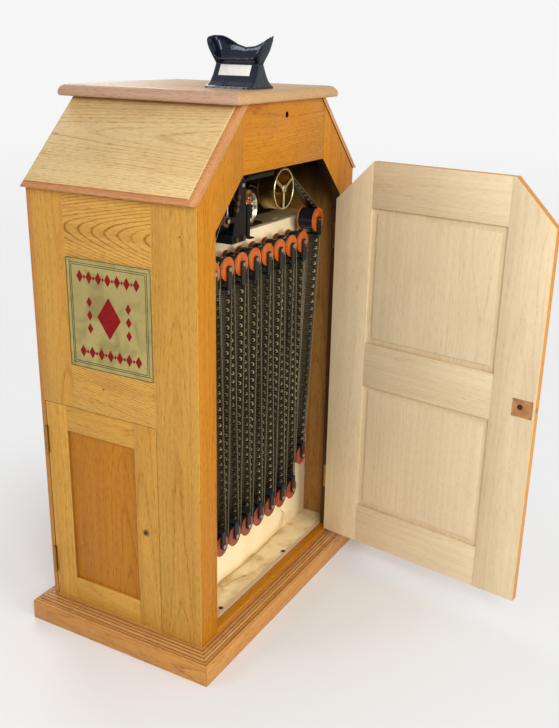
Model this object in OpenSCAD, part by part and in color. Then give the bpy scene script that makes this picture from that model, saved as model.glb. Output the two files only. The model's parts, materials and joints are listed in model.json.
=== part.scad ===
// Peep-show film viewer in an upright oak cabinet: a looped film runs over spools
// behind the big door, past a lamp and a slotted shutter, under an eyepiece on top.
// Millimetres, +Z up, origin on the floor under the middle of the cabinet,
// the big door at the front (-Y) and the small battery door on the left side (-X).

/* [Cabinet] */
// Width of the body across the big door
body_w = 672; // [560:1:820]
// Depth of the body from front to back
body_d = 420; // [400:1:520]
// Height of the whole cabinet without the eyepiece
cabinet_h = 1219; // [1100:1:1470]
// Thickness of the side walls
wall_t = 17; // [14:0.5:20]
// Thickness of the front frame round the big door
gable_t = 22; // [20:0.5:26]
// Thickness of the back boards
back_t = 12; // [10:0.5:14]
// Width of the front frame's two stiles
stile_w = 63.5; // [50:0.5:80]
// Height of the front opening's sloping corners
chamfer_h = 96; // [80:1:110]
// Width of the front opening's sloping corners
chamfer_w = 100; // [80:1:120]
// Height of the header above the front opening
header_h = 134; // [110:1:150]
// Height of the floor board's upper face
floor_z = 72; // [66:1:90]
// Thickness of the floor board, the film board and the shelf
board_t = 18; // [14:0.5:20]

/* [Plinth] */
// How far the plinth stands out from the body
plinth_out = 37; // [30:1:45]
// Height of the plinth's plain boards
plinth_h = 45; // [40:1:50]
// Height of the moulding that steps up from the plinth to the body
plinth_mould_h = 18; // [14:1:20]

/* [Hood] */
// Height of the sloping hood with the lid board
hood_h = 195.5; // [180:0.5:220]
// Thickness of the hood panels
hood_t = 22; // [18:0.5:26]
// How far the hood's lower edge reaches past the side walls
hood_over = 28.5; // [24:0.5:34]
// How far the hood's ends stand in front of the gables
hood_end = 2; // [0:0.5:10]
// Width between the hood's upper outer edges
hood_top_w = 375; // [340:1:390]
// Width of the thumbnail moulding on the hood's lower edges
thumb_w = 21; // [16:0.5:24]
// Width of the thumbnail moulding on the hood's ends
thumb_end_w = 12; // [11.5:0.5:24]
// Thickness of the lid board
lid_t = 24; // [20:0.5:28]
// How far the lid board reaches past the hood to each side
lid_over_x = 24; // [18:0.5:32]
// How far the lid board reaches past the body at front and back
lid_over_y = 12.7; // [10:0.1:20]

/* [Big door] */
// Gap all round the big door
door_gap = 1.5; // [1:0.1:3]
// Thickness of the big door
door_t = 20; // [18:0.5:22]
// How far the big door stands open, in degrees
door_open = 82; // [0:1:160]
// Width of the hinge stile
hinge_stile = 99; // [80:1:110]
// Width of the lock stile
lock_stile = 105; // [95:1:120]
// Height of the top rail and the bottom rail
door_rail = 105; // [90:0.5:120]
// Height of the middle rail
mid_rail = 109.5; // [90:0.5:130]
// Height of the middle rail's lower edge
mid_rail_z = 511; // [480:1:540]
// Width of the flat border round each raised field
field_inset = 13; // [8:0.5:20]

/* [Side door] */
// Width of the side door
side_door_w = 299.4; // [260:0.1:320]
// Height of the side door's lower edge
side_door_z = 66.6; // [65:0.1:80]
// Height of the side door
side_door_h = 489.3; // [450:0.1:520]
// Width of the side door's frame
side_door_frame_w = 58; // [48:1:66]
// Gap all round the side door
side_gap = 1.5; // [1:0.1:3]

/* [Film and spools] */
// Distance between neighbouring spools of a row
spool_pitch = 54.3; // [52:0.1:60]
// Width of the film
film_w = 35; // [30:0.5:36]
// Thickness of the film
film_t = 0.4; // [0.2:0.05:0.6]
// Radius of a spool's roller
roller_r = 22.5; // [20:0.1:23]
// Radius of a spool's flanges
flange_r = 25; // [24:0.1:25.5]
// Length of a spool
spool_len = 42; // [40:0.5:46]
// Radius of the corner spool's roller
corner_roller_r = 26; // [24:0.1:27]
// Radius of the corner spool's flanges
corner_flange_r = 28.8; // [28:0.1:30]
// Radius of the spools' axles
axle_r = 3; // [2:0.1:4]
// How far the lower row is set to the right of the upper row
lower_shift = 30; // [27:0.5:31]
// Height of the lower row above the floor board
lower_row_up = 162; // [140:1:200]
// Depth of the upper row below the shelf's upper face
upper_row_down = 42.8; // [38:0.1:60]

/* [Mechanism] */
// Depth of the shelf's upper face below the top of the cabinet
shelf_down = 307; // [290:1:320]
// Height of the drive sprocket's axis above the shelf
sprocket_up = 91.5; // [85:0.5:95]
// Place of the drive sprocket's axis from the middle, across
sprocket_x = 56.2; // [50:0.1:62]
// Radius of the drive sprocket where the film runs
sprocket_r = 44.7; // [40:0.1:45]
// Number of teeth round each edge of the sprocket
sprocket_teeth = 60; // [40:1:72]
// Number of teeth on the worm wheel
wheel_teeth = 60; // [48:1:60]
// Distance from the worm's axis to the worm wheel's axis
worm_centres = 55; // [52:0.5:58]
// Radius of the worm
worm_r = 6.8; // [6:0.1:8]
// Radius of the shutter disc
shutter_r = 122; // [100:1:122]
// Radius of the motor's case
motor_r = 34; // [28:1:34]
// Height of the motor's case
motor_h = 94; // [70:1:120]
// Place of the optical axis from the middle, across
optic_x = -62; // [-68:1:-56]

/* [Eyepiece] */
// Depth of the eyepiece's foot, front to back
eye_foot_y = 107; // [90:1:115]
// Width of the eyepiece's foot
eye_foot_x = 90; // [80:1:100]
// Height of the eyepiece's waist
eye_waist_z = 46; // [40:1:52]
// Width of the eyepiece at its waist
eye_waist_x = 21; // [21:0.5:28]
// Height of the eyepiece's ears
eye_h = 101; // [96:1:108]
// Height of the lowest point between the ears
eye_saddle_z = 77; // [72:1:80]
// Height of the sloping cut over the ears at the foot's left edge
eye_left_z = 79; // [76:1:90]

/* [Fits] */
// Radial clearance of a shaft in its bore
run_fit = 0.05; // [0.02:0.01:0.1]
// Clearance of a panel or a leaf in its pocket
seat_fit = 0.2; // [0.1:0.05:0.4]
// Gap at the joints between the boards of one frame
joint_gap = 0.2; // [0.1:0.05:0.4]
// Gap under the head of a screw or pin
head_gap = 0.05; // [0.05:0.01:0.1]
// Clearance between the film and what it runs over
film_fit = 0.3; // [0.25:0.05:0.5]

/* [Hidden] */
$fn = 64;

oak = "goldenrod";
oak_deep = "peru";
bare_wood = "wheat";
cream = "cornsilk";
black = "dimgray";
brass = "khaki";
steel = "silver";
slate = "slategray";
orange = "orangered";

// Body planes
half_w = body_w / 2;
inner_x = half_w - wall_t;
front_y = -body_d / 2;
back_y = body_d / 2;
gable_back = front_y + gable_t;
back_in = back_y - back_t;
side_h = cabinet_h - hood_h;
lid_z = cabinet_h - lid_t;
open_x = half_w - stile_w;
open_top_z = lid_z - header_h;
open_top_x = open_x - chamfer_w;
chamfer_z = open_top_z - chamfer_h;
shelf_z = cabinet_h - shelf_down;
film_board_y = front_y + 98;
film_board_t = 15;
shelf_front = film_board_y + film_board_t;
mould_top = plinth_h + plinth_mould_h;

// Hood slope, and where its inner face starts and ends
hood_out_x = half_w + hood_over;
hood_top_x = hood_top_w / 2;
hood_rise = lid_z - side_h;
hood_run = hood_out_x - hood_top_x;
hood_angle = atan2(hood_rise, hood_run);
hood_flat = hood_t / sin(hood_angle);
hood_in_x = hood_out_x - hood_flat;
hood_in_top_x = hood_top_x - hood_flat;
hood_len = norm([hood_rise, hood_run]);
hood_y = body_d / 2 + hood_end;
thumb_step = 4;
nose_r = 4;
end_round = 11;

// Big door
pivot_x = open_x - door_gap / 2;
pivot_y = front_y - 4;
door_edge_x = open_x - door_gap;
door_w = 2 * (open_x - door_gap);
door_z0 = floor_z + 2;
door_z1 = open_top_z - 5;
door_ch_w = chamfer_w - 2;
door_in_y = front_y + door_t;
door_mid_y = front_y + door_t / 2;
tongue_t = 6;
tongue_d = 6;
field_lift = 5;
field_bevel = 3;

// Hinges
leaf_t = 1.6;
leaf_w = 20;
leaf_h = 64;
knuckle_r = 3.5;
pin_r = 1.5;
leaf_split = 0.6;
main_hinge_z = [door_z0 + 110, chamfer_z - 130];
side_hinge_z = [side_door_z + 60, side_door_z + side_door_h - 60 - leaf_h];

// Lock of the big door, measured from the hinge edge
lock_s = door_w - 30;
lock_z = 556.5;
lock_plate_w = 48;
lock_plate_h = 42;
lock_plate_t = 1.6;
lock_body_w = 40;
lock_body_h = 34;
lock_body_d = 12;
key_s = lock_s - 5.6;
key_z = lock_z + 2.5;
key_r = 6.5;
bolt_h = 12;
bolt_t = 6;
bolt_len = 27;
bolt_s = lock_s + 2.5;
bolt_travel = 8;
bolt_z = key_z - 2;
bolt_y = door_in_y - 8.5;
strike_depth = bolt_travel + 3;

// Side door
side_out_x = -half_w;
side_t = wall_t - 0.3;
side_y1 = back_in - side_gap;
side_y0 = side_y1 - side_door_w;
side_open_y0 = side_y0 - side_gap;
side_z1 = side_door_z + side_door_h;
side_open_z0 = side_door_z - side_gap;
side_open_z1 = side_z1 + side_gap;
side_stile_y = 114;
side_pivot = [side_out_x - 4, back_in - side_gap / 2];
side_key = [side_y0 + 34, 305];
cam_len = side_key[0] - side_open_y0 + 8;
cam_r = 4;

// Spools, film and brackets
film_y = front_y + 56.5;
spool_y0 = film_y - spool_len / 2;
spool_y1 = film_y + spool_len / 2;
flange_t = 2;
arm_t = 3;
arm_gap = 2.5;
arm_w = 16;
upper_z = shelf_z - upper_row_down;
lower_z = floor_z + lower_row_up;
upper_drop = 41;
lower_drop = 34;
spool_x1 = -4.19 * spool_pitch;
corner_spool_at = [226.4, shelf_z - 1.9];
raised_spool_in = 6.583;
function top_at(i) = [spool_x1 + (i - 1) * spool_pitch, upper_z];
raised_spool_at = [spool_x1 + lower_shift + 7 * spool_pitch - raised_spool_in, lower_z + 76.9];
function bottom_at(i) =
  i == 8 ? raised_spool_at : [spool_x1 + lower_shift + (i - 1) * spool_pitch, lower_z];

// Every spool as place, bracket direction and bracket drop
SPOOLS = concat(
  [for (i = [1 : 8]) [top_at(i), -1, upper_drop]],
  [for (i = [1 : 8]) [bottom_at(i), 1, lower_drop]],
  [[corner_spool_at, -1, lower_drop]]
);

// Mechanism
sprocket_at = [sprocket_x, shelf_z + sprocket_up];
sprocket_wrap = sprocket_r + film_fit + film_t / 2 + 0.16;
film_top_z = sprocket_at[1] + sprocket_wrap;
guide_fit = film_fit + film_t / 2;
low_guide_r = 10;
top_guide_r = 15;
low_guide_at = [-177, shelf_z + 56];
top_guide_at = [-122, film_top_z - top_guide_r - guide_fit];
plate_t = 3;
plate_y0 = spool_y0 - 3.5;
plate_y1 = spool_y1 + 2.5;
plate_right = -110;
plate_low_left = -163.6;
plate_top_left = -133.7;
plate_z0 = shelf_z + 6;
plate_z1 = shelf_z + 133;
base_top = shelf_z + 23;
gate_z0 = shelf_z + 128;
gate_right = 4;
worm_at = [sprocket_x - worm_centres, shelf_front + 37];
wheel_t = 12;
wheel_tip = worm_centres - worm_r - 0.4;
shaft_r = 5;
spindle_r = 4;
post_w = 24;
post_t = 12;
arm_z = shelf_z + 124;
shutter_z = shelf_z + 151.4;
shutter_t = 1.2;
optic_y = film_y;
lamp_z = shelf_z + 84;
bulb_r = 12;
reflector_z = shelf_z + 63;
reflector_r = 39;
reflector_depth = 22;
reflector_t = 1.5;
bracket_t = 3;

// Film as a closed path over wheels: place, radius and turning sense
function wheel(at, r, s) = [at[0], at[1], r, s];
spool_wrap = roller_r + guide_fit;
WHEELS = concat(
  [
    wheel(low_guide_at, low_guide_r + guide_fit, 1),
    wheel(top_guide_at, top_guide_r + guide_fit, 1),
    wheel(sprocket_at, sprocket_wrap, 1),
    wheel(corner_spool_at, corner_roller_r + guide_fit, 1),
    wheel(raised_spool_at, spool_wrap, 1)
  ],
  [for (i = [7 : -1 : 1]) each [wheel(top_at(i + 1), spool_wrap, -1), wheel(bottom_at(i), spool_wrap, 1)]],
  [wheel(top_at(1), spool_wrap, 1)]
);
film_step = 10;
wheel_count = len(WHEELS);
function wheel_no(i) = WHEELS[(i + wheel_count) % wheel_count];
function heading(a, b) =
  atan2(b[1] - a[1], b[0] - a[0])
  + asin((b[3] * b[2] - a[3] * a[2]) / norm([b[0] - a[0], b[1] - a[1]]));
function wrap360(a) = a - 360 * floor(a / 360);
function heading_in(i) = heading(wheel_no(i - 1), wheel_no(i));
function heading_out(i) = heading(wheel_no(i), wheel_no(i + 1));
function turn(i) =
  -wheel_no(i)[3] * wrap360(wheel_no(i)[3] * (heading_in(i) - heading_out(i)));
function turn_steps(i) = max(2, ceil(abs(turn(i)) / film_step));
function film_point(w, h, off) =
  [w[0] - (w[3] * w[2] + off) * sin(h), w[1] + (w[3] * w[2] + off) * cos(h)];
function film_side(off) = [
  for (i = [0 : wheel_count - 1])
    for (k = [0 : turn_steps(i)])
      film_point(wheel_no(i), heading_in(i) + turn(i) * k / turn_steps(i), off)
];

// Lead wire on the cabinet floor: a route chosen by hand
wire_r = 1.5;
wire_out = [195, 121];
wire_hole = [-58, -148];
WIRE = [
  [195, -107, 121], [195, -113, 121], [194, -117, 119], [192, -118, 114], [189, -118, 104],
  [184, -118, 93], [178, -118, 83], [170, -118, 77], [160, -118, 74.2], [147, -117, 73.7],
  [110, -119, 73.7], [70, -121, 73.7], [30, -121, 73.7], [-5, -122, 73.7], [-45, -120, 73.7],
  [-80, -118, 73.7], [-105, -116, 73.7], [-119, -117, 73.7], [-126, -121, 73.7],
  [-127, -127, 73.7], [-122, -132, 73.7], [-112, -134, 73.7], [-92, -139, 73.7],
  [-76, -145, 73.7], [-68, -147.5, 74], [-63, -148, 73.8], [-59.5, -148, 72], [-57.5, -148, 69],
  [-57, -148, 65], [-57, -148, 57]
];

// Eyepiece
eye_at = [optic_x, film_y + 22];
eye_wall = 2.2;
eye_floor = 4;

// Plain helpers
module box(x0, x1, y0, y1, z0, z1) {
  translate([x0, y0, z0])
    cube([x1 - x0, y1 - y0, z1 - z0]);
}
module rod_y(at, y0, y1, r) {
  translate([at[0], y0, at[1]])
    rotate([-90, 0, 0])
      cylinder(r = r, h = y1 - y0);
}
module rod_x(at, x0, x1, r) {
  translate([x0, at[0], at[1]])
    rotate([0, 90, 0])
      cylinder(r = r, h = x1 - x0);
}
module plate_xz(y0, y1) {
  translate([0, y1, 0])
    rotate([90, 0, 0])
      linear_extrude(y1 - y0)
        children();
}
module plate_yz(x0, x1) {
  translate([x0, 0, 0])
    rotate([90, 0, 90])
      linear_extrude(x1 - x0)
        children();
}
module both_sides() {
  children();
  mirror([1, 0, 0])
    children();
}
function mirrored(p) = [for (k = [len(p) - 1 : -1 : 0]) [-p[k][0], p[k][1]]];
function arc(c, r, a0, a1, n) =
  [for (k = [0 : n]) c + r * [cos(a0 + (a1 - a0) * k / n), sin(a0 + (a1 - a0) * k / n)]];

// A strip along the front of a rectangle with mitred ends. Children draw its
// section with x outwards from the rectangle and y upwards.
module mitred_strip(half_len, half_off, reach, z0, z1) {
  far = reach + 1;
  short = half_len - joint_gap;
  intersection() {
    plate_yz(-half_len - far, half_len + far)
      translate([-half_off, 0])
        mirror([1, 0])
          children();
    translate([0, 0, z0 - 1])
      linear_extrude(z1 - z0 + 2)
        polygon([
          [-short, -half_off], [short, -half_off],
          [short + far, -half_off - far], [-short - far, -half_off - far]
        ]);
  }
}
module mitred_ring(reach, z0, z1) {
  for (turned = [0, 180])
    rotate([0, 0, turned]) {
      mitred_strip(half_w, body_d / 2, reach, z0, z1)
        children();
      rotate([0, 0, 90])
        mitred_strip(body_d / 2, half_w, reach, z0, z1)
          children();
    }
}

// Cabinet
module plinth_section() {
  p = plinth_out;
  z = plinth_h + joint_gap;
  top = mould_top;
  polygon(concat(
    [[-1, z]],
    arc([p - 5, z], 4, 0, 90, 5),
    arc([p - 8, z + 11], 7, 270, 180, 6),
    arc([p - 20, z + 11], 3, 0, 90, 5),
    [[p - 23, z + 14], [p - 24, top - 2.5], [p - 28, top - 1.5], [0, top], [-1, top]]
  ));
}
module plinth() {
  color(oak_deep) {
    mitred_ring(plinth_out, 0, plinth_h)
      translate([-1, 0])
        square([plinth_out + 1, plinth_h]);
    mitred_ring(plinth_out, plinth_h, mould_top)
      plinth_section();
  }
}
batten_w = 30;
stop_t = 10;
stop_lap = 8;
module battens() {
  color(bare_wood) {
    for (x = [-body_w * 0.3, 0, body_w * 0.3])
      box(x - batten_w / 2, x + batten_w / 2, gable_back, back_in, 0, floor_z - board_t);
    // Stop strips behind the side door's upper and lower edge
    box(-inner_x, -inner_x + stop_t, side_open_y0 + 10, back_in - 30,
      side_z1 - stop_lap, side_z1 + 20);
    box(-inner_x, -inner_x + stop_t, side_open_y0 + 10, back_in - 30,
      floor_z, side_door_z + stop_lap + 6);
  }
}
floor_screws = [[-201, gable_back + 16], [91, gable_back + 14]];
sunk_r = 5;
sunk_h = 8;
wire_hole_r = 5;
module cabinet_floor() {
  color(cream)
    difference() {
      box(-inner_x, inner_x, gable_back, back_in, floor_z - board_t, floor_z);
      for (p = floor_screws)
        translate([p[0], p[1], floor_z - sunk_h])
          cylinder(r = sunk_r, h = sunk_h + 2);
      translate([wire_hole[0], wire_hole[1], floor_z - board_t - 1])
        cylinder(r = wire_hole_r, h = board_t + 2);
    }
}
module end_outline() {
  polygon([
    [-half_w, 0], [half_w, 0], [half_w, side_h], [hood_in_x, side_h], [hood_in_top_x, lid_z],
    [-hood_in_top_x, lid_z], [-hood_in_x, side_h], [-half_w, side_h]
  ]);
}
module stile_outline() {
  intersection() {
    end_outline();
    polygon([
      [open_x, 0], [half_w, 0], [half_w, lid_z], [open_top_x, lid_z], [open_top_x, open_top_z],
      [open_x, chamfer_z]
    ]);
  }
}
module gable_stile() {
  difference() {
    plate_xz(front_y, gable_back)
      stile_outline();
    children();
  }
}
header_x = open_top_x - joint_gap;
header_hole_r = 6.5;
header_hole_down = 28;
header_hole_deep = 14;
module gable_frame() {
  color(oak) {
    gable_stile()
      for (z = main_hinge_z)
        box(open_x - 1, open_x + leaf_t + seat_fit, front_y - 1, pivot_y + leaf_w + seat_fit,
          z - seat_fit, z + leaf_h + seat_fit);
    mirror([1, 0, 0])
      gable_stile()
        box(open_x - 1, open_x + strike_depth, bolt_y - bolt_t / 2 - 1, bolt_y + bolt_t / 2 + 1,
          bolt_z - bolt_h / 2 - 1, bolt_z + bolt_h / 2 + 1);
    difference() {
      plate_xz(front_y, gable_back)
        intersection() {
          end_outline();
          translate([-header_x, open_top_z])
            square([2 * header_x, header_h]);
        }
      rod_y([0, lid_z - header_hole_down], front_y - 1, front_y + header_hole_deep, header_hole_r);
    }
    box(joint_gap - open_x, open_x - joint_gap, front_y, gable_back, 0, floor_z);
  }
}
// Old nail holes in the left side
nail_r = 2.2;
nail_deep = 3;
stile_nail = [gable_back + 17, side_h - 61.5];
panel_nail = [30.5, side_open_z1 + 58.6];
module nail_hole(at) {
  rod_x(at, -half_w - 1, -half_w + nail_deep, nail_r);
}
module side_frames() {
  color(oak) {
    // Left side, round the side door
    difference() {
      box(-half_w, -inner_x, gable_back, side_open_y0, 0, side_h);
      nail_hole(stile_nail);
    }
    box(-half_w, -inner_x, side_stile_y, back_in, side_open_z1, side_h);
    box(-half_w, -inner_x, side_open_y0 + joint_gap, back_in, 0, side_open_z0);
    // Right side
    box(inner_x, half_w, gable_back, side_open_y0, 0, side_h);
    box(inner_x, half_w, side_stile_y, back_in, 0, side_h);
  }
}
module side_panels() {
  color(oak) {
    difference() {
      box(-half_w, -inner_x, side_open_y0, side_stile_y, side_open_z1, side_h);
      nail_hole(panel_nail);
      for (p = plate_pins)
        rod_x(p, -half_w - 1, -half_w + plate_pin_deep + 1, plate_pin_r + run_fit);
    }
    box(inner_x, half_w, side_open_y0, side_stile_y, 0, side_h);
  }
}
back_board_w = body_w / 3;
module back_wall() {
  color(oak_deep)
    for (k = [0 : 2])
      difference() {
        intersection() {
          plate_xz(back_in, back_y)
            end_outline();
          box(-half_w + k * back_board_w + (k > 0 ? joint_gap : 0), -half_w + (k + 1) * back_board_w,
            back_in, back_y, 0, cabinet_h);
        }
        if (k == 0)
          for (z = side_hinge_z)
            box(-half_w - 1, side_pivot[0] + leaf_w + seat_fit, back_in - 1,
              back_in + leaf_t + seat_fit, z - seat_fit, z + leaf_h + seat_fit);
      }
}
// Hood panel in its own frame: x up the slope, z outwards from its inner face
hood_shift = hood_t / tan(hood_angle);
hood_short = joint_gap / sin(hood_angle);
nose_w = hood_t - thumb_step - nose_r;
nose_u = (nose_r - nose_w * cos(hood_angle)) / sin(hood_angle);
module hood_slope_section() {
  polygon([
    [0, 0],
    [nose_u - nose_r * sin(hood_angle), nose_w - nose_r * cos(hood_angle)],
    [nose_u, nose_w],
    [nose_u, nose_w + nose_r],
    [thumb_w - hood_shift, hood_t - thumb_step],
    [thumb_w - hood_shift, hood_t],
    [hood_len - hood_shift - hood_short, hood_t],
    [hood_len - hood_short, 0]
  ]);
  translate([nose_u, nose_w])
    circle(nose_r);
}
hood_end_half = concat(
  [[hood_y, 0], [hood_y, hood_t - thumb_step - end_round]],
  arc([hood_y - end_round, hood_t - thumb_step - end_round], end_round, 0, 90, 8),
  [[hood_y - thumb_end_w, hood_t - thumb_step], [hood_y - thumb_end_w, hood_t]]
);
module hood_panel() {
  translate([-hood_in_x - joint_gap / 2, 0, side_h])
    rotate([0, -hood_angle, 0])
      intersection() {
        plate_xz(-hood_y, hood_y)
          hood_slope_section();
        plate_yz(-hood_shift - 5, hood_len + 5)
          polygon(concat(hood_end_half, mirrored(hood_end_half)));
      }
}
module hood_panels() {
  color(oak)
    both_sides()
      hood_panel();
}
lid_low_r = 5;
lid_top_r = lid_t - lid_low_r - 2;
function lid_half(half) = concat(
  arc([half - lid_low_r, lid_low_r], lid_low_r, -90, 0, 5),
  arc([half - lid_top_r, lid_t - lid_top_r], lid_top_r, 0, 90, 8)
);
module lid_section(half) {
  polygon(concat(lid_half(half), mirrored(lid_half(half))));
}
lid_x = hood_top_x + lid_over_x;
lid_y = body_d / 2 + lid_over_y;
sight_r = 14;
module top_board() {
  color(oak_deep)
    translate([0, 0, lid_z])
      difference() {
        intersection() {
          plate_xz(-lid_y, lid_y)
            lid_section(lid_x);
          plate_yz(-lid_x, lid_x)
            lid_section(lid_y);
        }
        translate([optic_x, optic_y, -1])
          cylinder(r = sight_r, h = lid_t + 2);
      }
}
foot_h = 18;
screw_r = 2;
screw_len = 10;
screw_head_r = 4;
screw_head_t = 2;
function foot_screw(s) = [s[0][0], s[0][1] + s[1] * (s[2] + arm_t + foot_h / 2)];
module backboard() {
  color(cream)
    difference() {
      box(-inner_x, inner_x, film_board_y, shelf_front, floor_z, shelf_z);
      for (s = SPOOLS)
        rod_y(foot_screw(s), film_board_y - 1, film_board_y + screw_len + 1, screw_r + run_fit);
      rod_y(wire_out, film_board_y - 1, WIRE[0][1], wire_r + 1);
      // Notch that the side door's cam turns into
      box(-inner_x - 1, -inner_x + 6, film_board_y - 1, shelf_front + 1,
        side_key[1] - 8, side_key[1] + cam_len + 3);
    }
}
worm_hole_r = 12;
slot_x = [158, 182];
slot_behind = [4, 13];
module mechanism_shelf() {
  color(bare_wood)
    difference() {
      box(-inner_x, inner_x, shelf_front, back_in, shelf_z - board_t, shelf_z);
      translate([worm_at[0], worm_at[1], shelf_z - board_t - 1])
        cylinder(r = worm_hole_r, h = board_t + 2);
      // Slot that the battery's leads come up through
      box(slot_x[0], slot_x[1], shelf_front + slot_behind[0], shelf_front + slot_behind[1],
        shelf_z - board_t - 1, shelf_z + 1);
    }
}

knuckle_gap = 0.2;
pin_end = 1.5;
pin_head_r = 2.6;
pin_head_t = 2.2;
pin_head_gap = 0.3;
// Hinges: the pin stands on the z axis, the leaves lie along +y, one each side of it
module hinge_leaf(side, fixed) {
  third = leaf_h / 3;
  own = [third - knuckle_gap, 2 * third + knuckle_gap];
  bands = fixed ? [[0, own[0]], [own[1], leaf_h]] : [[third, 2 * third]];
  cut = fixed ? [own] : [[-1, third], [2 * third, leaf_h + 1]];
  x0 = side > 0 ? door_gap / 2 : -door_gap / 2 - leaf_t;
  difference() {
    union() {
      box(x0, x0 + leaf_t, 0, leaf_w, 0, leaf_h);
      for (b = bands)
        translate([0, 0, b[0]])
          cylinder(r = knuckle_r, h = b[1] - b[0]);
    }
    for (c = cut)
      box(-knuckle_r - 1, knuckle_r + 1, -knuckle_r - 1, knuckle_r + leaf_split, c[0], c[1]);
    translate([0, 0, -1])
      cylinder(r = pin_r + run_fit, h = leaf_h + 2);
  }
}
module hinge_pin() {
  translate([0, 0, -pin_end])
    cylinder(r = pin_r, h = leaf_h + 2 * pin_end);
  for (z = [-pin_head_gap - pin_head_t, leaf_h + pin_head_gap])
    translate([0, 0, z])
      cylinder(r = pin_head_r, h = pin_head_t);
}
module at_main_hinges() {
  for (z = main_hinge_z)
    translate([pivot_x, pivot_y, z])
      children();
}
module at_side_hinges() {
  for (z = side_hinge_z)
    translate([side_pivot[0], side_pivot[1], z])
      rotate([0, 0, -90])
        children();
}
module fixed_hinge_leaves() {
  color(brass) {
    at_main_hinges() {
      hinge_leaf(1, true);
      hinge_pin();
    }
    at_side_hinges() {
      hinge_leaf(-1, true);
      hinge_pin();
    }
  }
}

// Big door, drawn shut and then swung open
module swung() {
  translate([pivot_x, pivot_y, 0])
    rotate([0, 0, door_open])
      translate([-pivot_x, -pivot_y, 0])
        children();
}
module door_plate(y0, y1) {
  plate_xz(y0, y1)
    translate([door_edge_x, 0])
      mirror([1, 0])
        children();
}
function door_x(s) = door_edge_x - s;
door_top_rail_z = door_z1 - door_rail;
door_bottom_rail_z = door_z0 + door_rail;
mid_rail_z1 = mid_rail_z + mid_rail;
rail_s0 = hinge_stile;
rail_s1 = door_w - lock_stile;
PANELS = [[door_bottom_rail_z, mid_rail_z], [mid_rail_z1, door_top_rail_z]];
module door_piece() {
  difference() {
    door_plate(front_y, door_in_y)
      children();
    for (p = PANELS)
      door_plate(door_mid_y - tongue_t / 2 - seat_fit / 2, door_mid_y + tongue_t / 2 + seat_fit / 2)
        translate([rail_s0 - tongue_d, p[0] - tongue_d])
          square([rail_s1 - rail_s0 + 2 * tongue_d, p[1] - p[0] + 2 * tongue_d]);
  }
}
module lock_pocket() {
  door_box(lock_s - lock_plate_w / 2 - seat_fit, lock_s + lock_plate_w / 2 + seat_fit,
    door_in_y - lock_plate_t - seat_fit, door_in_y + 1,
    lock_z - lock_plate_h / 2 - seat_fit, lock_z + lock_plate_h / 2 + seat_fit);
  door_box(lock_s - lock_body_w / 2 - seat_fit, lock_s + lock_body_w / 2 + seat_fit,
    door_in_y - lock_plate_t - lock_body_d - seat_fit, door_in_y,
    lock_z - lock_body_h / 2 - seat_fit, lock_z + lock_body_h / 2 + seat_fit);
  door_box(lock_s, door_w + 1, bolt_y - bolt_t / 2 - seat_fit, bolt_y + bolt_t / 2 + seat_fit,
    bolt_z - bolt_h / 2 - seat_fit, bolt_z + bolt_h / 2 + seat_fit);
  rod_y([door_x(key_s), key_z], front_y - 1, door_in_y, key_r + 1);
  for (p = lock_screw_at)
    rod_y([door_x(p[0]), p[1]], door_in_y - lock_screw_len - 1, door_in_y, lock_screw_r + 2 * run_fit);
}
module door_box(s0, s1, y0, y1, z0, z1) {
  box(door_x(s1), door_x(s0), y0, y1, z0, z1);
}
module main_door_frame() {
  color(bare_wood)
    swung() {
      difference() {
        door_piece()
          polygon([
            [0, door_z0], [hinge_stile, door_z0], [hinge_stile, door_z1],
            [door_ch_w, door_z1], [0, door_z1 - chamfer_h]
          ]);
        for (z = main_hinge_z)
          box(door_edge_x - leaf_t - seat_fit, door_edge_x + 1, front_y - 1,
            pivot_y + leaf_w + seat_fit, z - seat_fit, z + leaf_h + seat_fit);
      }
      difference() {
        door_piece()
          polygon([
            [rail_s1, door_z0], [door_w, door_z0], [door_w, door_z1 - chamfer_h],
            [door_w - door_ch_w, door_z1], [rail_s1, door_z1]
          ]);
        lock_pocket();
      }
      for (r = [[door_z0, door_bottom_rail_z], [mid_rail_z, mid_rail_z1], [door_top_rail_z, door_z1]])
        door_piece()
          translate([rail_s0 + joint_gap, r[0]])
            square([rail_s1 - rail_s0 - 2 * joint_gap, r[1] - r[0]]);
    }
}
// A low block with sloping edges on all four sides, standing along +z
module field_block(w, h) {
  intersection() {
    translate([0, h, 0])
      rotate([90, 0, 0])
        linear_extrude(h)
          polygon([[0, 0], [w, 0], [w - field_bevel, field_lift], [field_bevel, field_lift]]);
    rotate([90, 0, 90])
      linear_extrude(w)
        polygon([[0, 0], [h, 0], [h - field_bevel, field_lift], [field_bevel, field_lift]]);
  }
}
module main_door_panels() {
  slack = seat_fit * 2;
  color(bare_wood)
    swung()
      for (p = PANELS) {
        door_plate(door_mid_y - tongue_t / 2, door_mid_y + tongue_t / 2)
          translate([rail_s0 - tongue_d + slack, p[0] - tongue_d + slack])
            square([
              rail_s1 - rail_s0 + 2 * tongue_d - 2 * slack,
              p[1] - p[0] + 2 * tongue_d - 2 * slack
            ]);
        for (inward = [false, true])
          translate([door_x(rail_s1 - field_inset), door_mid_y, p[0] + field_inset])
            mirror([0, inward ? 1 : 0, 0])
              translate([0, -tongue_t / 2, 0])
                rotate([90, 0, 0])
                  field_block(rail_s1 - rail_s0 - 2 * field_inset, p[1] - p[0] - 2 * field_inset);
      }
}
module main_door_hinge_leaves() {
  color(brass)
    swung()
      at_main_hinges()
        hinge_leaf(-1, false);
}
lock_screw_r = 1.2;
lock_screw_len = 9;
lock_screw_in = 2.6;
lock_head_r = 2.2;
lock_head_t = 0.8;
lock_screw_at = [
  for (a = [-1, 1], b = [-1, 1])
    [lock_s + a * (lock_plate_w / 2 - lock_screw_in), lock_z + b * (lock_plate_h / 2 - lock_screw_in)]
];
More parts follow.
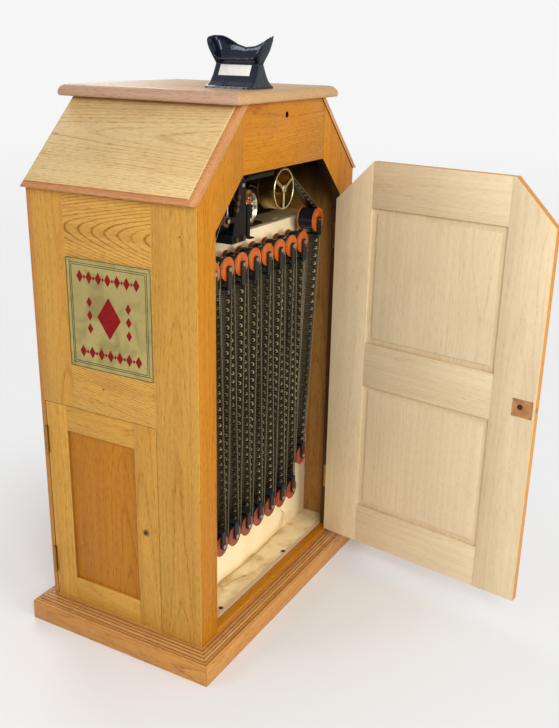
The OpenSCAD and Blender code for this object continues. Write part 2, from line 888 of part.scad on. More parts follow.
module lock_case() {
  y_plate = door_in_y - lock_plate_t;
  color("sienna")
    swung() {
      difference() {
        union() {
          door_box(lock_s - lock_plate_w / 2, lock_s + lock_plate_w / 2, y_plate, door_in_y,
            lock_z - lock_plate_h / 2, lock_z + lock_plate_h / 2);
          door_box(lock_s - lock_body_w / 2, lock_s + lock_body_w / 2, y_plate - lock_body_d, y_plate,
            lock_z - lock_body_h / 2, lock_z + lock_body_h / 2);
        }
        rod_y([door_x(key_s), key_z], front_y, door_in_y + 1, key_r + run_fit);
        door_box(bolt_s - 1, door_w, bolt_y - bolt_t / 2 - seat_fit, bolt_y + bolt_t / 2 + seat_fit,
          bolt_z - bolt_h / 2 - seat_fit, bolt_z + bolt_h / 2 + seat_fit);
        for (p = lock_screw_at)
          rod_y([door_x(p[0]), p[1]], front_y, door_in_y + 1, lock_screw_r + run_fit);
      }
      for (p = lock_screw_at) {
        rod_y([door_x(p[0]), p[1]], door_in_y + head_gap, door_in_y + lock_head_t, lock_head_r);
        rod_y([door_x(p[0]), p[1]], door_in_y - lock_screw_len, door_in_y + lock_head_t / 2,
          lock_screw_r);
      }
    }
}
key_slot_w = 1.6;
key_slot_h = 7;
key_slot_deep = 6;
module lock_cylinder() {
  color(steel)
    swung()
      difference() {
        rod_y([door_x(key_s), key_z], front_y - 1, door_in_y + 0.6, key_r);
        door_box(key_s - key_slot_w / 2, key_s + key_slot_w / 2, front_y - 2, front_y + key_slot_deep,
          key_z - key_slot_h / 2, key_z + key_slot_h / 2);
      }
}
module lock_bolt() {
  color(brass)
    swung()
      door_box(bolt_s, bolt_s + bolt_len, bolt_y - bolt_t / 2, bolt_y + bolt_t / 2,
        bolt_z - bolt_h / 2, bolt_z + bolt_h / 2);
}

// Side door
side_rail_z0 = side_door_z + side_door_frame_w;
side_rail_z1 = side_z1 - side_door_frame_w;
side_rail_y0 = side_y0 + side_door_frame_w;
side_rail_y1 = side_y1 - side_door_frame_w;
side_in_x = side_out_x + side_t;
side_mid_x = side_out_x + side_t / 2;
bush_wall = 1.9;
module side_groove(slack) {
  box(side_mid_x - tongue_t / 2 - slack / 2, side_mid_x + tongue_t / 2 + slack / 2,
    side_rail_y0 - tongue_d, side_rail_y1 + tongue_d, side_rail_z0 - tongue_d, side_rail_z1 + tongue_d);
}
module side_piece(y0, y1, z0, z1) {
  difference() {
    box(side_out_x, side_in_x, y0, y1, z0, z1);
    side_groove(seat_fit);
    children();
  }
}
module side_door_frame() {
  color(oak) {
    side_piece(side_y0, side_rail_y0, side_door_z, side_z1)
      rod_x(side_key, side_out_x - 1, side_in_x + 1, cam_r + bush_wall + head_gap * 2);
    side_piece(side_rail_y1, side_y1, side_door_z, side_z1)
      for (z = side_hinge_z)
        box(side_out_x - 1, side_pivot[0] + leaf_w + seat_fit, side_y1 - leaf_t - seat_fit,
          side_y1 + 1, z - seat_fit, z + leaf_h + seat_fit);
    for (z = [side_door_z, side_rail_z1])
      side_piece(side_rail_y0 + joint_gap, side_rail_y1 - joint_gap, z, z + side_door_frame_w);
  }
}
module side_door_panel() {
  slack = seat_fit * 2;
  color(oak)
    box(side_mid_x - tongue_t / 2, side_mid_x + tongue_t / 2,
      side_rail_y0 - tongue_d + slack, side_rail_y1 + tongue_d - slack,
      side_rail_z0 - tongue_d + slack, side_rail_z1 + tongue_d - slack);
}
bush_rim = 3.5;
bush_rim_t = 1.5;
module side_door_hardware() {
  color(brass) {
    at_side_hinges()
      hinge_leaf(1, false);
    // Lock bush with its round rim
    difference() {
      union() {
        rod_x(side_key, side_out_x - bush_rim_t, side_out_x, cam_r + bush_rim);
        rod_x(side_key, side_out_x, side_in_x, cam_r + bush_wall);
      }
      rod_x(side_key, side_out_x - bush_rim_t - 1, side_in_x + 1, cam_r + run_fit);
    }
  }
}
cam_gap = 0.8;
cam_t = 2;
cam_slot_w = 1.2;
cam_slot_h = 5;
module side_lock_cam() {
  color(steel)
    difference() {
      union() {
        rod_x(side_key, side_out_x - 2, side_in_x + cam_gap + cam_t + 0.6, cam_r);
        box(side_in_x + cam_gap, side_in_x + cam_gap + cam_t, side_key[0] - cam_r, side_key[0] + cam_r,
          side_key[1], side_key[1] + cam_len);
      }
      box(side_out_x - 3, side_out_x + 2, side_key[0] - cam_slot_w / 2, side_key[0] + cam_slot_w / 2,
        side_key[1] - cam_slot_h / 2, side_key[1] + cam_slot_h / 2);
    }
}

// Spools and what carries them
module spool(at, roller, flange) {
  color(orange)
    translate([at[0], spool_y0, at[1]])
      rotate([-90, 0, 0])
        difference() {
          rotate_extrude()
            polygon([
              [0, 0], [flange, 0], [flange, flange_t], [roller, flange_t],
              [roller, spool_len - flange_t], [flange, spool_len - flange_t],
              [flange, spool_len], [0, spool_len]
            ]);
          translate([0, 0, -1])
            cylinder(r = axle_r + run_fit, h = spool_len + 2);
        }
}
front_arm_y = spool_y0 - arm_gap - arm_t;
rear_arm_y = spool_y1 + arm_gap;
// Bracket round the origin: arms at both ends of the spool, web to the board, foot
module bracket(way, drop) {
  mirror([0, 0, way > 0 ? 0 : 1])
    difference() {
      union() {
        for (y = [front_arm_y, rear_arm_y]) {
          rod_y([0, 0], y, y + arm_t, arm_w / 2);
          box(-arm_w / 2, arm_w / 2, y, y + arm_t, 0, drop + arm_t);
        }
        box(-arm_w / 2, arm_w / 2, front_arm_y, film_board_y, drop, drop + arm_t);
        box(-arm_w / 2, arm_w / 2, film_board_y - arm_t, film_board_y, drop, drop + arm_t + foot_h);
      }
      rod_y([0, 0], front_arm_y - 1, rear_arm_y + arm_t + 1, axle_r + run_fit / 2);
      rod_y([0, drop + arm_t + foot_h / 2], film_board_y - arm_t - 1, film_board_y + 1,
        screw_r + run_fit);
    }
}
module spool_brackets() {
  color(slate)
    for (s = SPOOLS)
      translate([s[0][0], 0, s[0][1]])
        bracket(s[1], s[2]);
}
axle_head_t = 1.6;
axle_head_rim = 1.8;
axle_nut_t = 1.2;
axle_nut_rim = 1.4;
module axle(at, r, y0, y1) {
  rod_y(at, y0, y1, r);
  rod_y(at, y0 - axle_head_t, y0, r + axle_head_rim);
  rod_y(at, y1, y1 + axle_nut_t, r + axle_nut_rim);
}
guide_axle_r = 2.5;
module spool_axles() {
  color(steel) {
    for (s = SPOOLS)
      axle(s[0], axle_r, front_arm_y, rear_arm_y + arm_t);
    for (at = [low_guide_at, top_guide_at])
      axle(at, guide_axle_r, plate_y0, plate_y1 + plate_t);
  }
}
plate_nuts = [
  [-142, shelf_z + 100], [-145.5, shelf_z + 88], [-149, shelf_z + 75],
  [-150, shelf_z + 14], [-122, shelf_z + 14]
];
plate_nut_r = 5.5;
plate_nut_t = 5;
module steel_fasteners() {
  color(steel) {
    for (s = SPOOLS) {
      rod_y(foot_screw(s), film_board_y - arm_t - screw_head_t, film_board_y - arm_t, screw_head_r);
      rod_y(foot_screw(s), film_board_y - arm_t, film_board_y + screw_len, screw_r);
    }
    for (p = floor_screws)
      translate([p[0], p[1], floor_z - sunk_h])
        cylinder(r = screw_head_r, h = screw_head_t);
    for (at = plate_nuts)
      rod_y(at, plate_y0 - plate_nut_t, plate_y0, plate_nut_r);
  }
}
guide_y0 = plate_y0 + plate_t + 1;
guide_y1 = plate_y1 - 1;
guide_flange_t = 2;
guide_flange = 2;
module guide_roller(at, r) {
  color("saddlebrown")
    difference() {
      union() {
        rod_y(at, guide_y0, guide_y1, r);
        for (y = [guide_y0, guide_y1 - guide_flange_t])
          rod_y(at, y, y + guide_flange_t, r + guide_flange);
      }
      rod_y(at, plate_y0, plate_y1 + plate_t, guide_axle_r + run_fit);
    }
}
module film_loop() {
  count = len(film_side(0));
  color("darkolivegreen")
    plate_xz(film_y - film_w / 2, film_y + film_w / 2)
      polygon(
        points = concat(film_side(film_t / 2), film_side(-film_t / 2)),
        paths = [[for (k = [0 : count - 1]) k], [for (k = [0 : count - 1]) count + k]]
      );
}

// Mechanism on the shelf
guide_eye_r = 6;
module roller_plate(y0) {
  difference() {
    union() {
      plate_xz(y0, y0 + plate_t)
        polygon([
          [plate_low_left, plate_z0], [plate_right, plate_z0],
          [plate_right, plate_z1], [plate_top_left, plate_z1]
        ]);
      box(low_guide_at[0], plate_top_left, y0, y0 + plate_t,
        low_guide_at[1] - guide_eye_r, low_guide_at[1] + guide_eye_r);
      rod_y(low_guide_at, y0, y0 + plate_t, guide_eye_r);
    }
    for (at = [low_guide_at, top_guide_at])
      rod_y(at, y0 - 1, y0 + plate_t + 1, guide_axle_r + run_fit / 2);
  }
}
gate_window = [25, 19];
module gate() {
  top = film_top_z - film_t / 2 - film_fit;
  clear_x = top_guide_at[0] + top_guide_r + guide_flange + 2;
  difference() {
    union() {
      box(clear_x, gate_right, plate_y0, plate_y1 + plate_t, gate_z0, top);
      for (y = [plate_y0, plate_y1])
        box(plate_right, gate_right, y, y + plate_t, gate_z0, plate_z1);
    }
    box(optic_x - gate_window[0] / 2, optic_x + gate_window[0] / 2,
      optic_y - gate_window[1] / 2, optic_y + gate_window[1] / 2, gate_z0 - 1, top + 1);
  }
}
base_back = shelf_front + 70;
base_foot = shelf_front + 6;
module film_frame() {
  roller_plate(plate_y0);
  roller_plate(plate_y1);
  box(plate_low_left, plate_right, plate_y0, base_back, plate_z0, base_top);
  box(plate_low_left, plate_right, base_foot, base_back, shelf_z, plate_z0);
  gate();
}
post_x0 = sprocket_at[0] - post_w / 2;
post_front_gap = 8;
post_back_gap = 10;
post_ys = [worm_at[1] - wheel_t / 2 - post_front_gap - post_t, worm_at[1] + wheel_t / 2 + post_back_gap];
post_back = post_ys[1] + post_t;
stand_t = 6;
stand_left = 26;
stand_right = 30;
crown_half = 13;
crown_front = 12;
module drive_stand() {
  difference() {
    union() {
      box(worm_at[0] - stand_left, post_x0 + post_w + stand_right, shelf_front + 1, post_back + 4,
        shelf_z, shelf_z + stand_t);
      box(post_x0, post_x0 + post_w, post_ys[0], post_ys[0] + post_t,
        shelf_z, sprocket_at[1] + post_w / 2);
      box(post_x0, post_x0 + post_w, post_ys[1], post_back, shelf_z, arm_z + stand_t);
      box(worm_at[0] - crown_half, post_x0 + post_w, post_ys[1] - stand_t, post_back,
        arm_z, arm_z + stand_t);
      box(worm_at[0] - crown_half, worm_at[0] + crown_half, worm_at[1] - crown_front, post_back,
        arm_z, arm_z + stand_t);
    }
    rod_y(sprocket_at, post_ys[0] - 1, post_back + 1, shaft_r + run_fit);
    translate([worm_at[0], worm_at[1], shelf_z - 1])
      cylinder(r = worm_hole_r, h = stand_t + 2);
    translate([worm_at[0], worm_at[1], arm_z - 1])
      cylinder(r = spindle_r + run_fit, h = stand_t + 2);
  }
}
reflector_back = optic_y + reflector_depth + reflector_t;
reflector_pin_r = 2.4;
reflector_pin = 16;
lamp_foot_half = 8;
lamp_post_half = 6;
lamp_post_y = reflector_back + 10;
module lamp_bracket() {
  difference() {
    union() {
      box(optic_x - lamp_foot_half, optic_x + lamp_foot_half, optic_y - 12, shelf_front + 40,
        shelf_z, shelf_z + bracket_t);
      box(optic_x - lamp_post_half, optic_x + lamp_post_half, lamp_post_y, lamp_post_y + bracket_t,
        shelf_z, reflector_z + lamp_post_half);
    }
    rod_y([optic_x, reflector_z], reflector_back, reflector_back + reflector_pin + 4,
      reflector_pin_r + 2 * run_fit);
  }
}
module mechanism_frame() {
  color(black) {
    film_frame();
    drive_stand();
    lamp_bracket();
  }
}
bulb_neck_r = 6;
bulb_neck_z = shelf_z + 62;
bulb_neck_h = 12;
module lamp_bulb() {
  color("orange")
    translate([optic_x, optic_y, 0]) {
      translate([0, 0, lamp_z])
        sphere(bulb_r);
      translate([0, 0, bulb_neck_z])
        cylinder(r = bulb_neck_r, h = bulb_neck_h);
    }
}
socket_r = 9;
socket_z0 = 44;
socket_h = 27.5;
socket_stem_r = 5;
socket_band_r = 10.5;
socket_band_h = 4.6;
socket_bands = [57, 66.5];
socket_fit = 0.3;
module lamp_socket() {
  color(brass)
    translate([optic_x, optic_y, shelf_z])
      difference() {
        union() {
          translate([0, 0, bracket_t])
            cylinder(r = socket_stem_r, h = socket_z0 - bracket_t + 1);
          translate([0, 0, socket_z0])
            cylinder(r = socket_r, h = socket_h);
          for (z = socket_bands)
            translate([0, 0, z])
              cylinder(r = socket_band_r, h = socket_band_h);
        }
        translate([0, 0, bulb_neck_z - shelf_z - socket_fit])
          cylinder(r = bulb_neck_r + run_fit, h = socket_h);
      }
}
bowl_r = (reflector_r * reflector_r + reflector_depth * reflector_depth) / (2 * reflector_depth);
bowl_half = asin(reflector_r / bowl_r);
module lamp_reflector() {
  color(brass)
    difference() {
      union() {
        translate([optic_x, optic_y + reflector_depth - bowl_r, reflector_z])
          rotate([-90, 0, 0])
            rotate_extrude()
              polygon(concat(
                arc([0, 0], bowl_r, 90, 90 - bowl_half, 16),
                arc([0, 0], bowl_r + reflector_t, 90 - bowl_half, 90, 16)
              ));
        rod_y([optic_x, reflector_z], reflector_back - 0.5, reflector_back + reflector_pin,
          reflector_pin_r);
      }
      // Way through for the lamp's socket
      translate([optic_x, optic_y, shelf_z])
        cylinder(r = socket_band_r + 1.5, h = 50);
    }
}
motor_band = 14;
motor_step = 3;
motor_floor = 6;
worm_len = 31;
module motor_body() {
  z1 = shelf_z - board_t;
  color(black)
    translate([worm_at[0], worm_at[1], z1 - motor_h])
      difference() {
        union() {
          translate([0, 0, motor_floor])
            cylinder(r = motor_r - motor_step, h = motor_h - motor_floor);
          for (z = [0, motor_h - motor_band])
            translate([0, 0, z])
              cylinder(r = motor_r, h = motor_band);
        }
        translate([0, 0, motor_floor])
          cylinder(r = spindle_r + run_fit, h = motor_h);
      }
}
module motor_shaft() {
  z0 = shelf_z - board_t - motor_h + motor_floor + joint_gap + 0.1;
  color(steel)
    translate([worm_at[0], worm_at[1], 0]) {
      translate([0, 0, z0])
        cylinder(r = spindle_r, h = shutter_z + shutter_hub_h / 2 + 3 - z0);
      translate([0, 0, sprocket_at[1] - worm_len / 2])
        cylinder(r = worm_r, h = worm_len);
    }
}
shutter_hub_r = 10;
shutter_hub_h = 12;
shutter_slot = [20, 12];
shutter_rim = 6;
module shutter_disc() {
  color(black)
    translate([worm_at[0], worm_at[1], shutter_z])
      difference() {
        union() {
          cylinder(r = shutter_r, h = shutter_t);
          translate([0, 0, -shutter_hub_h / 2])
            cylinder(r = shutter_hub_r, h = shutter_hub_h);
        }
        translate([0, 0, -shutter_hub_h / 2 - 1])
          cylinder(r = spindle_r + run_fit / 2, h = shutter_hub_h + 2);
        // Slot over the film gate
        rotate([0, 0, atan2(optic_y - worm_at[1], optic_x - worm_at[0])])
          translate([shutter_r - shutter_rim - shutter_slot[0], -shutter_slot[1] / 2, -1])
            cube([shutter_slot[0], shutter_slot[1], shutter_t + 2]);
      }
}
tooth_ring_t = 1.8;
tooth_h = 1.9;
function tooth_outline(r, h, n) =
  [for (k = [0 : 4 * n - 1]) (r + (k % 4 < 2 ? h : 0)) * [cos(90 * k / n), sin(90 * k / n)]];
module tooth_ring(y0) {
  translate([0, 0, y0])
    linear_extrude(tooth_ring_t)
      polygon(tooth_outline(sprocket_r, tooth_h, sprocket_teeth));
}
rim_t = 3;
drum_back = 4;
hub_r = 9;
spoke_angles = [92, 212, 332];
spoke_w = 7;
spoke_t = 4;
wheel_tooth = 2.6;
wheel_hole_at = 26;
wheel_hole_r = 9;
module drive_sprocket() {
  color(brass) {
    translate([sprocket_at[0], spool_y0, sprocket_at[1]])
      rotate([-90, 0, 0])
        difference() {
          union() {
            cylinder(r = sprocket_r, h = spool_len);
            tooth_ring(0);
            tooth_ring(spool_len - tooth_ring_t);
          }
          difference() {
            translate([0, 0, -1])
              cylinder(r = sprocket_r - rim_t, h = spool_len + 1 - drum_back);
            cylinder(r = hub_r, h = spool_len);
            // Three spokes in the open front end
            for (a = spoke_angles)
              rotate([0, 0, a])
                translate([0, -spoke_w / 2, 0])
                  cube([sprocket_r, spoke_w, spoke_t]);
          }
          translate([0, 0, -2])
            cylinder(r = shaft_r + run_fit / 2, h = spool_len + 4);
        }
    // Worm wheel on the same shaft
    translate([sprocket_at[0], worm_at[1] - wheel_t / 2, sprocket_at[1]])
      rotate([-90, 0, 0])
        difference() {
          linear_extrude(wheel_t)
            polygon(tooth_outline(wheel_tip - wheel_tooth, wheel_tooth, wheel_teeth));
          for (a = [0 : 72 : 359])
            rotate([0, 0, a])
              translate([wheel_hole_at, 0, -1])
                cylinder(r = wheel_hole_r, h = wheel_t + 2);
          translate([0, 0, -1])
            cylinder(r = shaft_r + run_fit / 2, h = wheel_t + 2);
        }
  }
}
module sprocket_shaft() {
  color(steel) {
    rod_y(sprocket_at, spool_y0 - 2, post_back + 3, shaft_r);
    rod_y(sprocket_at, post_back + 0.3, post_back + 5, shaft_r + 3);
  }
}
cell = 88;
cell_h = 165;
cell_x = -122;
cell_pitch = cell + 6;
terminal_r = 7;
terminal_h = 14;
module battery_cells() {
  color("darkslategray")
    for (k = [0 : 3])
      translate([cell_x + k * cell_pitch, base_back, floor_z]) {
        cube([cell, cell, cell_h]);
        for (x = [0.3, 0.7])
          translate([cell * x, cell / 2, cell_h])
            cylinder(r = terminal_r, h = terminal_h);
      }
}

// Eyepiece: an hourglass section along x meets an eared section along y. The label lies on
// the flank between two of its corners.
eye_ear_x = 8;
label_a = [eye_foot_x / 2 - 22, 24];
label_b = [eye_waist_x / 2 + 1.5, eye_waist_z - 1];
function eye_flank(inset) = [
  [eye_foot_x / 2 - inset, 0], [eye_foot_x / 2 - inset, 4], [eye_foot_x / 2 - 5 - inset, 5],
  [eye_foot_x / 2 - 14 - inset, 13], [label_a[0] - inset, label_a[1]],
  [label_b[0] - inset, label_b[1]], [eye_waist_x / 2 - inset, eye_waist_z],
  [eye_waist_x / 2 + 3 - inset, eye_waist_z + 6], [eye_waist_x / 2 + 10 - inset, eye_waist_z + 16],
  [eye_waist_x / 2 + 15 - inset, eye_waist_z + 27], [eye_waist_x / 2 + 17 - inset, eye_h - 18],
  [eye_waist_x / 2 + 16 - inset, eye_h + 1]
];
function eye_side(inset) = concat(
  [
    [eye_foot_y / 2 - inset, 0], [eye_foot_y / 2 - 4 - inset, eye_waist_z - 2],
    [eye_foot_y / 2 - inset, eye_waist_z + 10], [eye_foot_y / 2 + 5 - inset, eye_waist_z + 20],
    [eye_foot_y / 2 + 11 - inset, eye_waist_z + 31], [eye_foot_y / 2 + 15 - inset, eye_h - 12],
    [eye_foot_y / 2 + 15.5 - inset, eye_h - 4], [eye_foot_y / 2 + 13 - inset, eye_h]
  ],
  [for (k = [0 : 8]) [(eye_foot_y / 2 + 9) * (1 - k / 8),
    eye_saddle_z + (eye_h - 1.5 - eye_saddle_z) * (1 + cos(180 * k / 8)) / 2]]
);
module eye_solid(inset, z0) {
  intersection() {
    plate_xz(-90, 90)
      polygon(concat(eye_flank(inset), mirrored(eye_flank(inset))));
    plate_yz(-60, 60)
      polygon(concat(eye_side(inset), mirrored(eye_side(inset))));
    translate([-100, -100, z0])
      cube([200, 200, eye_h + 10]);
  }
}
module eyepiece_hood() {
  color("midnightblue")
    translate([eye_at[0], eye_at[1], cabinet_h])
      difference() {
        eye_solid(0, 0);
        translate([0, 0, eye_wall / 2])
          eye_solid(eye_wall, eye_waist_z + eye_floor);
        translate([0, optic_y - eye_at[1], -1])
          cylinder(r = eye_lens_r + run_fit / 2, h = eye_waist_z + 12);
        plate_xz(-eye_foot_y, eye_foot_y)
          polygon([
            [-eye_foot_x / 2, eye_left_z], [eye_ear_x, eye_h], [eye_ear_x, eye_h + 1],
            [-eye_foot_x / 2, eye_h + 1]
          ]);
      }
}
eye_lens_r = 7.5;
module eyepiece_lens() {
  color("lightblue", 0.5)
    translate([optic_x, optic_y, cabinet_h + eye_waist_z - 6])
      cylinder(r = eye_lens_r, h = 5);
}
label_w = 73;
label_h = 23;
label_t = 0.8;
label_tilt = atan2(label_b[1] - label_a[1], label_a[0] - label_b[0]);
module eyepiece_label() {
  mid = (label_a + label_b) / 2;
  color("white")
    translate([eye_at[0] - mid[0], eye_at[1], cabinet_h + mid[1]])
      rotate([0, -label_tilt, 0])
        translate([-label_h / 2, -label_w / 2, 0])
          cube([label_h, label_w, label_t]);
}

// Name plate, left bare
plate_w = 215;
plate_h = 234;
plate_thick = 1.5;
plate_y = 5.5;
plate_z = side_h - 249.5;
plate_pin_r = 1.4;
plate_pin_deep = 8;
plate_pin_in = 7;
plate_pin_head_r = 3.2;
plate_pin_head_t = 1.4;
plate_pins = [
  for (a = [-1, 1], b = [-1, 1])
    [plate_y + a * (plate_w / 2 - plate_pin_in), plate_z + b * (plate_h / 2 - plate_pin_in)]
];
module name_plate() {
  color(brass) {
    difference() {
      box(-half_w - plate_thick, -half_w, plate_y - plate_w / 2, plate_y + plate_w / 2,
        plate_z - plate_h / 2, plate_z + plate_h / 2);
      for (p = plate_pins)
        rod_x(p, -half_w - plate_thick - 1, -half_w + 1, plate_pin_r + run_fit);
    }
    for (p = plate_pins) {
      rod_x(p, -half_w - plate_thick - plate_pin_head_t, -half_w - plate_thick - head_gap,
        plate_pin_head_r);
      rod_x(p, -half_w - plate_thick - 1, -half_w + plate_pin_deep, plate_pin_r);
    }
  }
}

// Lead wire: a tube of eight sides swept along its route
function unit(v) = v / norm(v);
function wire_dir(i) =
  unit(WIRE[min(i + 1, len(WIRE) - 1)] - WIRE[max(i - 1, 0)]);
function wire_side(i) =
  let (d = wire_dir(i), up = abs(d[2]) > 0.9 ? [0, 1, 0] : [0, 0, 1]) unit(cross(d, up));
wire_sides = 8;
module lead_wire() {
  n = len(WIRE);
  ring = [
    for (i = [0 : n - 1])
      let (a = wire_side(i), b = cross(wire_dir(i), a))
        for (k = [0 : wire_sides - 1])
          WIRE[i] + wire_r * (a * cos(360 * k / wire_sides) + b * sin(360 * k / wire_sides))
  ];
  walls = [
    for (i = [0 : n - 2], k = [0 : wire_sides - 1])
      let (k2 = (k + 1) % wire_sides, p = i * wire_sides, q = p + wire_sides)
        each [[p + k, q + k, q + k2], [p + k, q + k2, p + k2]]
  ];
  ends = [
    [for (k = [0 : wire_sides - 1]) k],
    [for (k = [wire_sides - 1 : -1 : 0]) (n - 1) * wire_sides + k]
  ];
  color("tan")
    polyhedron(points = ring, faces = concat(walls, ends));
}

plinth();
battens();
cabinet_floor();
gable_frame();
side_frames();
side_panels();
back_wall();
hood_panels();
top_board();
backboard();
mechanism_shelf();
fixed_hinge_leaves();
spool_brackets();
spool_axles();
steel_fasteners();
film_loop();
mechanism_frame();
guide_roller(low_guide_at, low_guide_r);  // guide_roller_low
guide_roller(top_guide_at, top_guide_r);  // guide_roller_top
lamp_bulb();
lamp_socket();
lamp_reflector();
motor_body();
drive_sprocket();
sprocket_shaft();
shutter_disc();
motor_shaft();
battery_cells();
eyepiece_hood();
eyepiece_lens();
eyepiece_label();
name_plate();
lead_wire();
main_door_frame();
main_door_panels();
main_door_hinge_leaves();
lock_case();
lock_cylinder();
lock_bolt();
side_door_frame();
side_door_panel();
side_door_hardware();
side_lock_cam();
spool(top_at(1), roller_r, flange_r);  // top_spool_1
spool(top_at(2), roller_r, flange_r);  // top_spool_2
spool(top_at(3), roller_r, flange_r);  // top_spool_3
spool(top_at(4), roller_r, flange_r);  // top_spool_4
spool(top_at(5), roller_r, flange_r);  // top_spool_5
spool(top_at(6), roller_r, flange_r);  // top_spool_6
spool(top_at(7), roller_r, flange_r);  // top_spool_7
spool(top_at(8), roller_r, flange_r);  // top_spool_8
spool(bottom_at(1), roller_r, flange_r);  // bottom_spool_1
spool(bottom_at(2), roller_r, flange_r);  // bottom_spool_2
spool(bottom_at(3), roller_r, flange_r);  // bottom_spool_3
spool(bottom_at(4), roller_r, flange_r);  // bottom_spool_4
spool(bottom_at(5), roller_r, flange_r);  // bottom_spool_5
spool(bottom_at(6), roller_r, flange_r);  // bottom_spool_6
spool(bottom_at(7), roller_r, flange_r);  // bottom_spool_7
spool(bottom_at(8), roller_r, flange_r);  // bottom_spool_8
spool(corner_spool_at, corner_roller_r, corner_flange_r);  // corner_spool
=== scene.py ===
"""Looks of a peep-show film viewer in an upright oak cabinet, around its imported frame."""

from __future__ import annotations

import json
import logging
import math
from dataclasses import dataclass
from enum import Enum
from functools import cache, partialmethod

import bmesh
import bpy
import numpy as np
from mathutils import Matrix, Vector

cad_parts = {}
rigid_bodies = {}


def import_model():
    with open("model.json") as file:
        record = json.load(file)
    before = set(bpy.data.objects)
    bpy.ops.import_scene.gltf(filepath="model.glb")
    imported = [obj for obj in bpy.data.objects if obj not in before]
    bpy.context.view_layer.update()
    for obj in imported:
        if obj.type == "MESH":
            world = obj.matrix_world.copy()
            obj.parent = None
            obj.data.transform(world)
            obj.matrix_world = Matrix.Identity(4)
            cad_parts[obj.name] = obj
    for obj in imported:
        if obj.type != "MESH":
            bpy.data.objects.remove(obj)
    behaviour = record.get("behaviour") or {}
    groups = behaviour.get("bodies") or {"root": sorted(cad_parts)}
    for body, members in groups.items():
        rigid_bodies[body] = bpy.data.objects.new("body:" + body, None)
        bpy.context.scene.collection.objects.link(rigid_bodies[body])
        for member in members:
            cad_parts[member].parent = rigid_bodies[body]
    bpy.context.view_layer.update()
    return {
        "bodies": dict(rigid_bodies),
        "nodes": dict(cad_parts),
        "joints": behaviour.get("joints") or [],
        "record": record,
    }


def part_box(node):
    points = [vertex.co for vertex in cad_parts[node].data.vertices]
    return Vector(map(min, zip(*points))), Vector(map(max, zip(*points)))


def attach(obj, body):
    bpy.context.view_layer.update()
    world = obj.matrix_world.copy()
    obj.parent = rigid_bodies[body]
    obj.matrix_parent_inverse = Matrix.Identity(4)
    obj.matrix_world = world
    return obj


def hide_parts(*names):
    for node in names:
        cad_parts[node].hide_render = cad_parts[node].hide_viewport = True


log = logging.getLogger("viewer")
MM = 0.001
# Points this close in metres are joined, on a CAD mesh and on a made one
WELD, MEET = 1e-5, 1e-6
# Faces of a CAD mesh that differ by less than this angle in radians become one
FLAT = 0.009
WHITE = (1.0, 1.0, 1.0, 1.0)
# What pores leave of a colour, and what the painted shade of the cabinet's dark top leaves of it
PORE = (0.62, 0.55, 0.5, 1.0)
GLOOM = (0.14, 0.13, 0.13, 1.0)
Rgb = tuple[float, float, float]
Socket = bpy.types.NodeSocket
Value = float | tuple | Socket
Array = np.ndarray
# The signs of x and y in the four quarters, anticlockwise
QUARTERS = np.array([[1, 1], [-1, 1], [-1, -1], [1, -1]])


def screen(colour: Rgb) -> tuple[float, ...]:
    """Turns a screen colour from 0 to 255 into the linear one that shaders use.

    Args:
        colour: Red, green and blue.

    Returns:
        The linear colour with full opacity: a straight line in the darks, and a power
        of 2.4 above them.
    """
    c = np.array(colour) / 255
    linear = np.where(c <= 0.04045, c / 12.92, ((c + 0.055) / 1.055) ** 2.4)
    return (*linear.tolist(), 1.0)


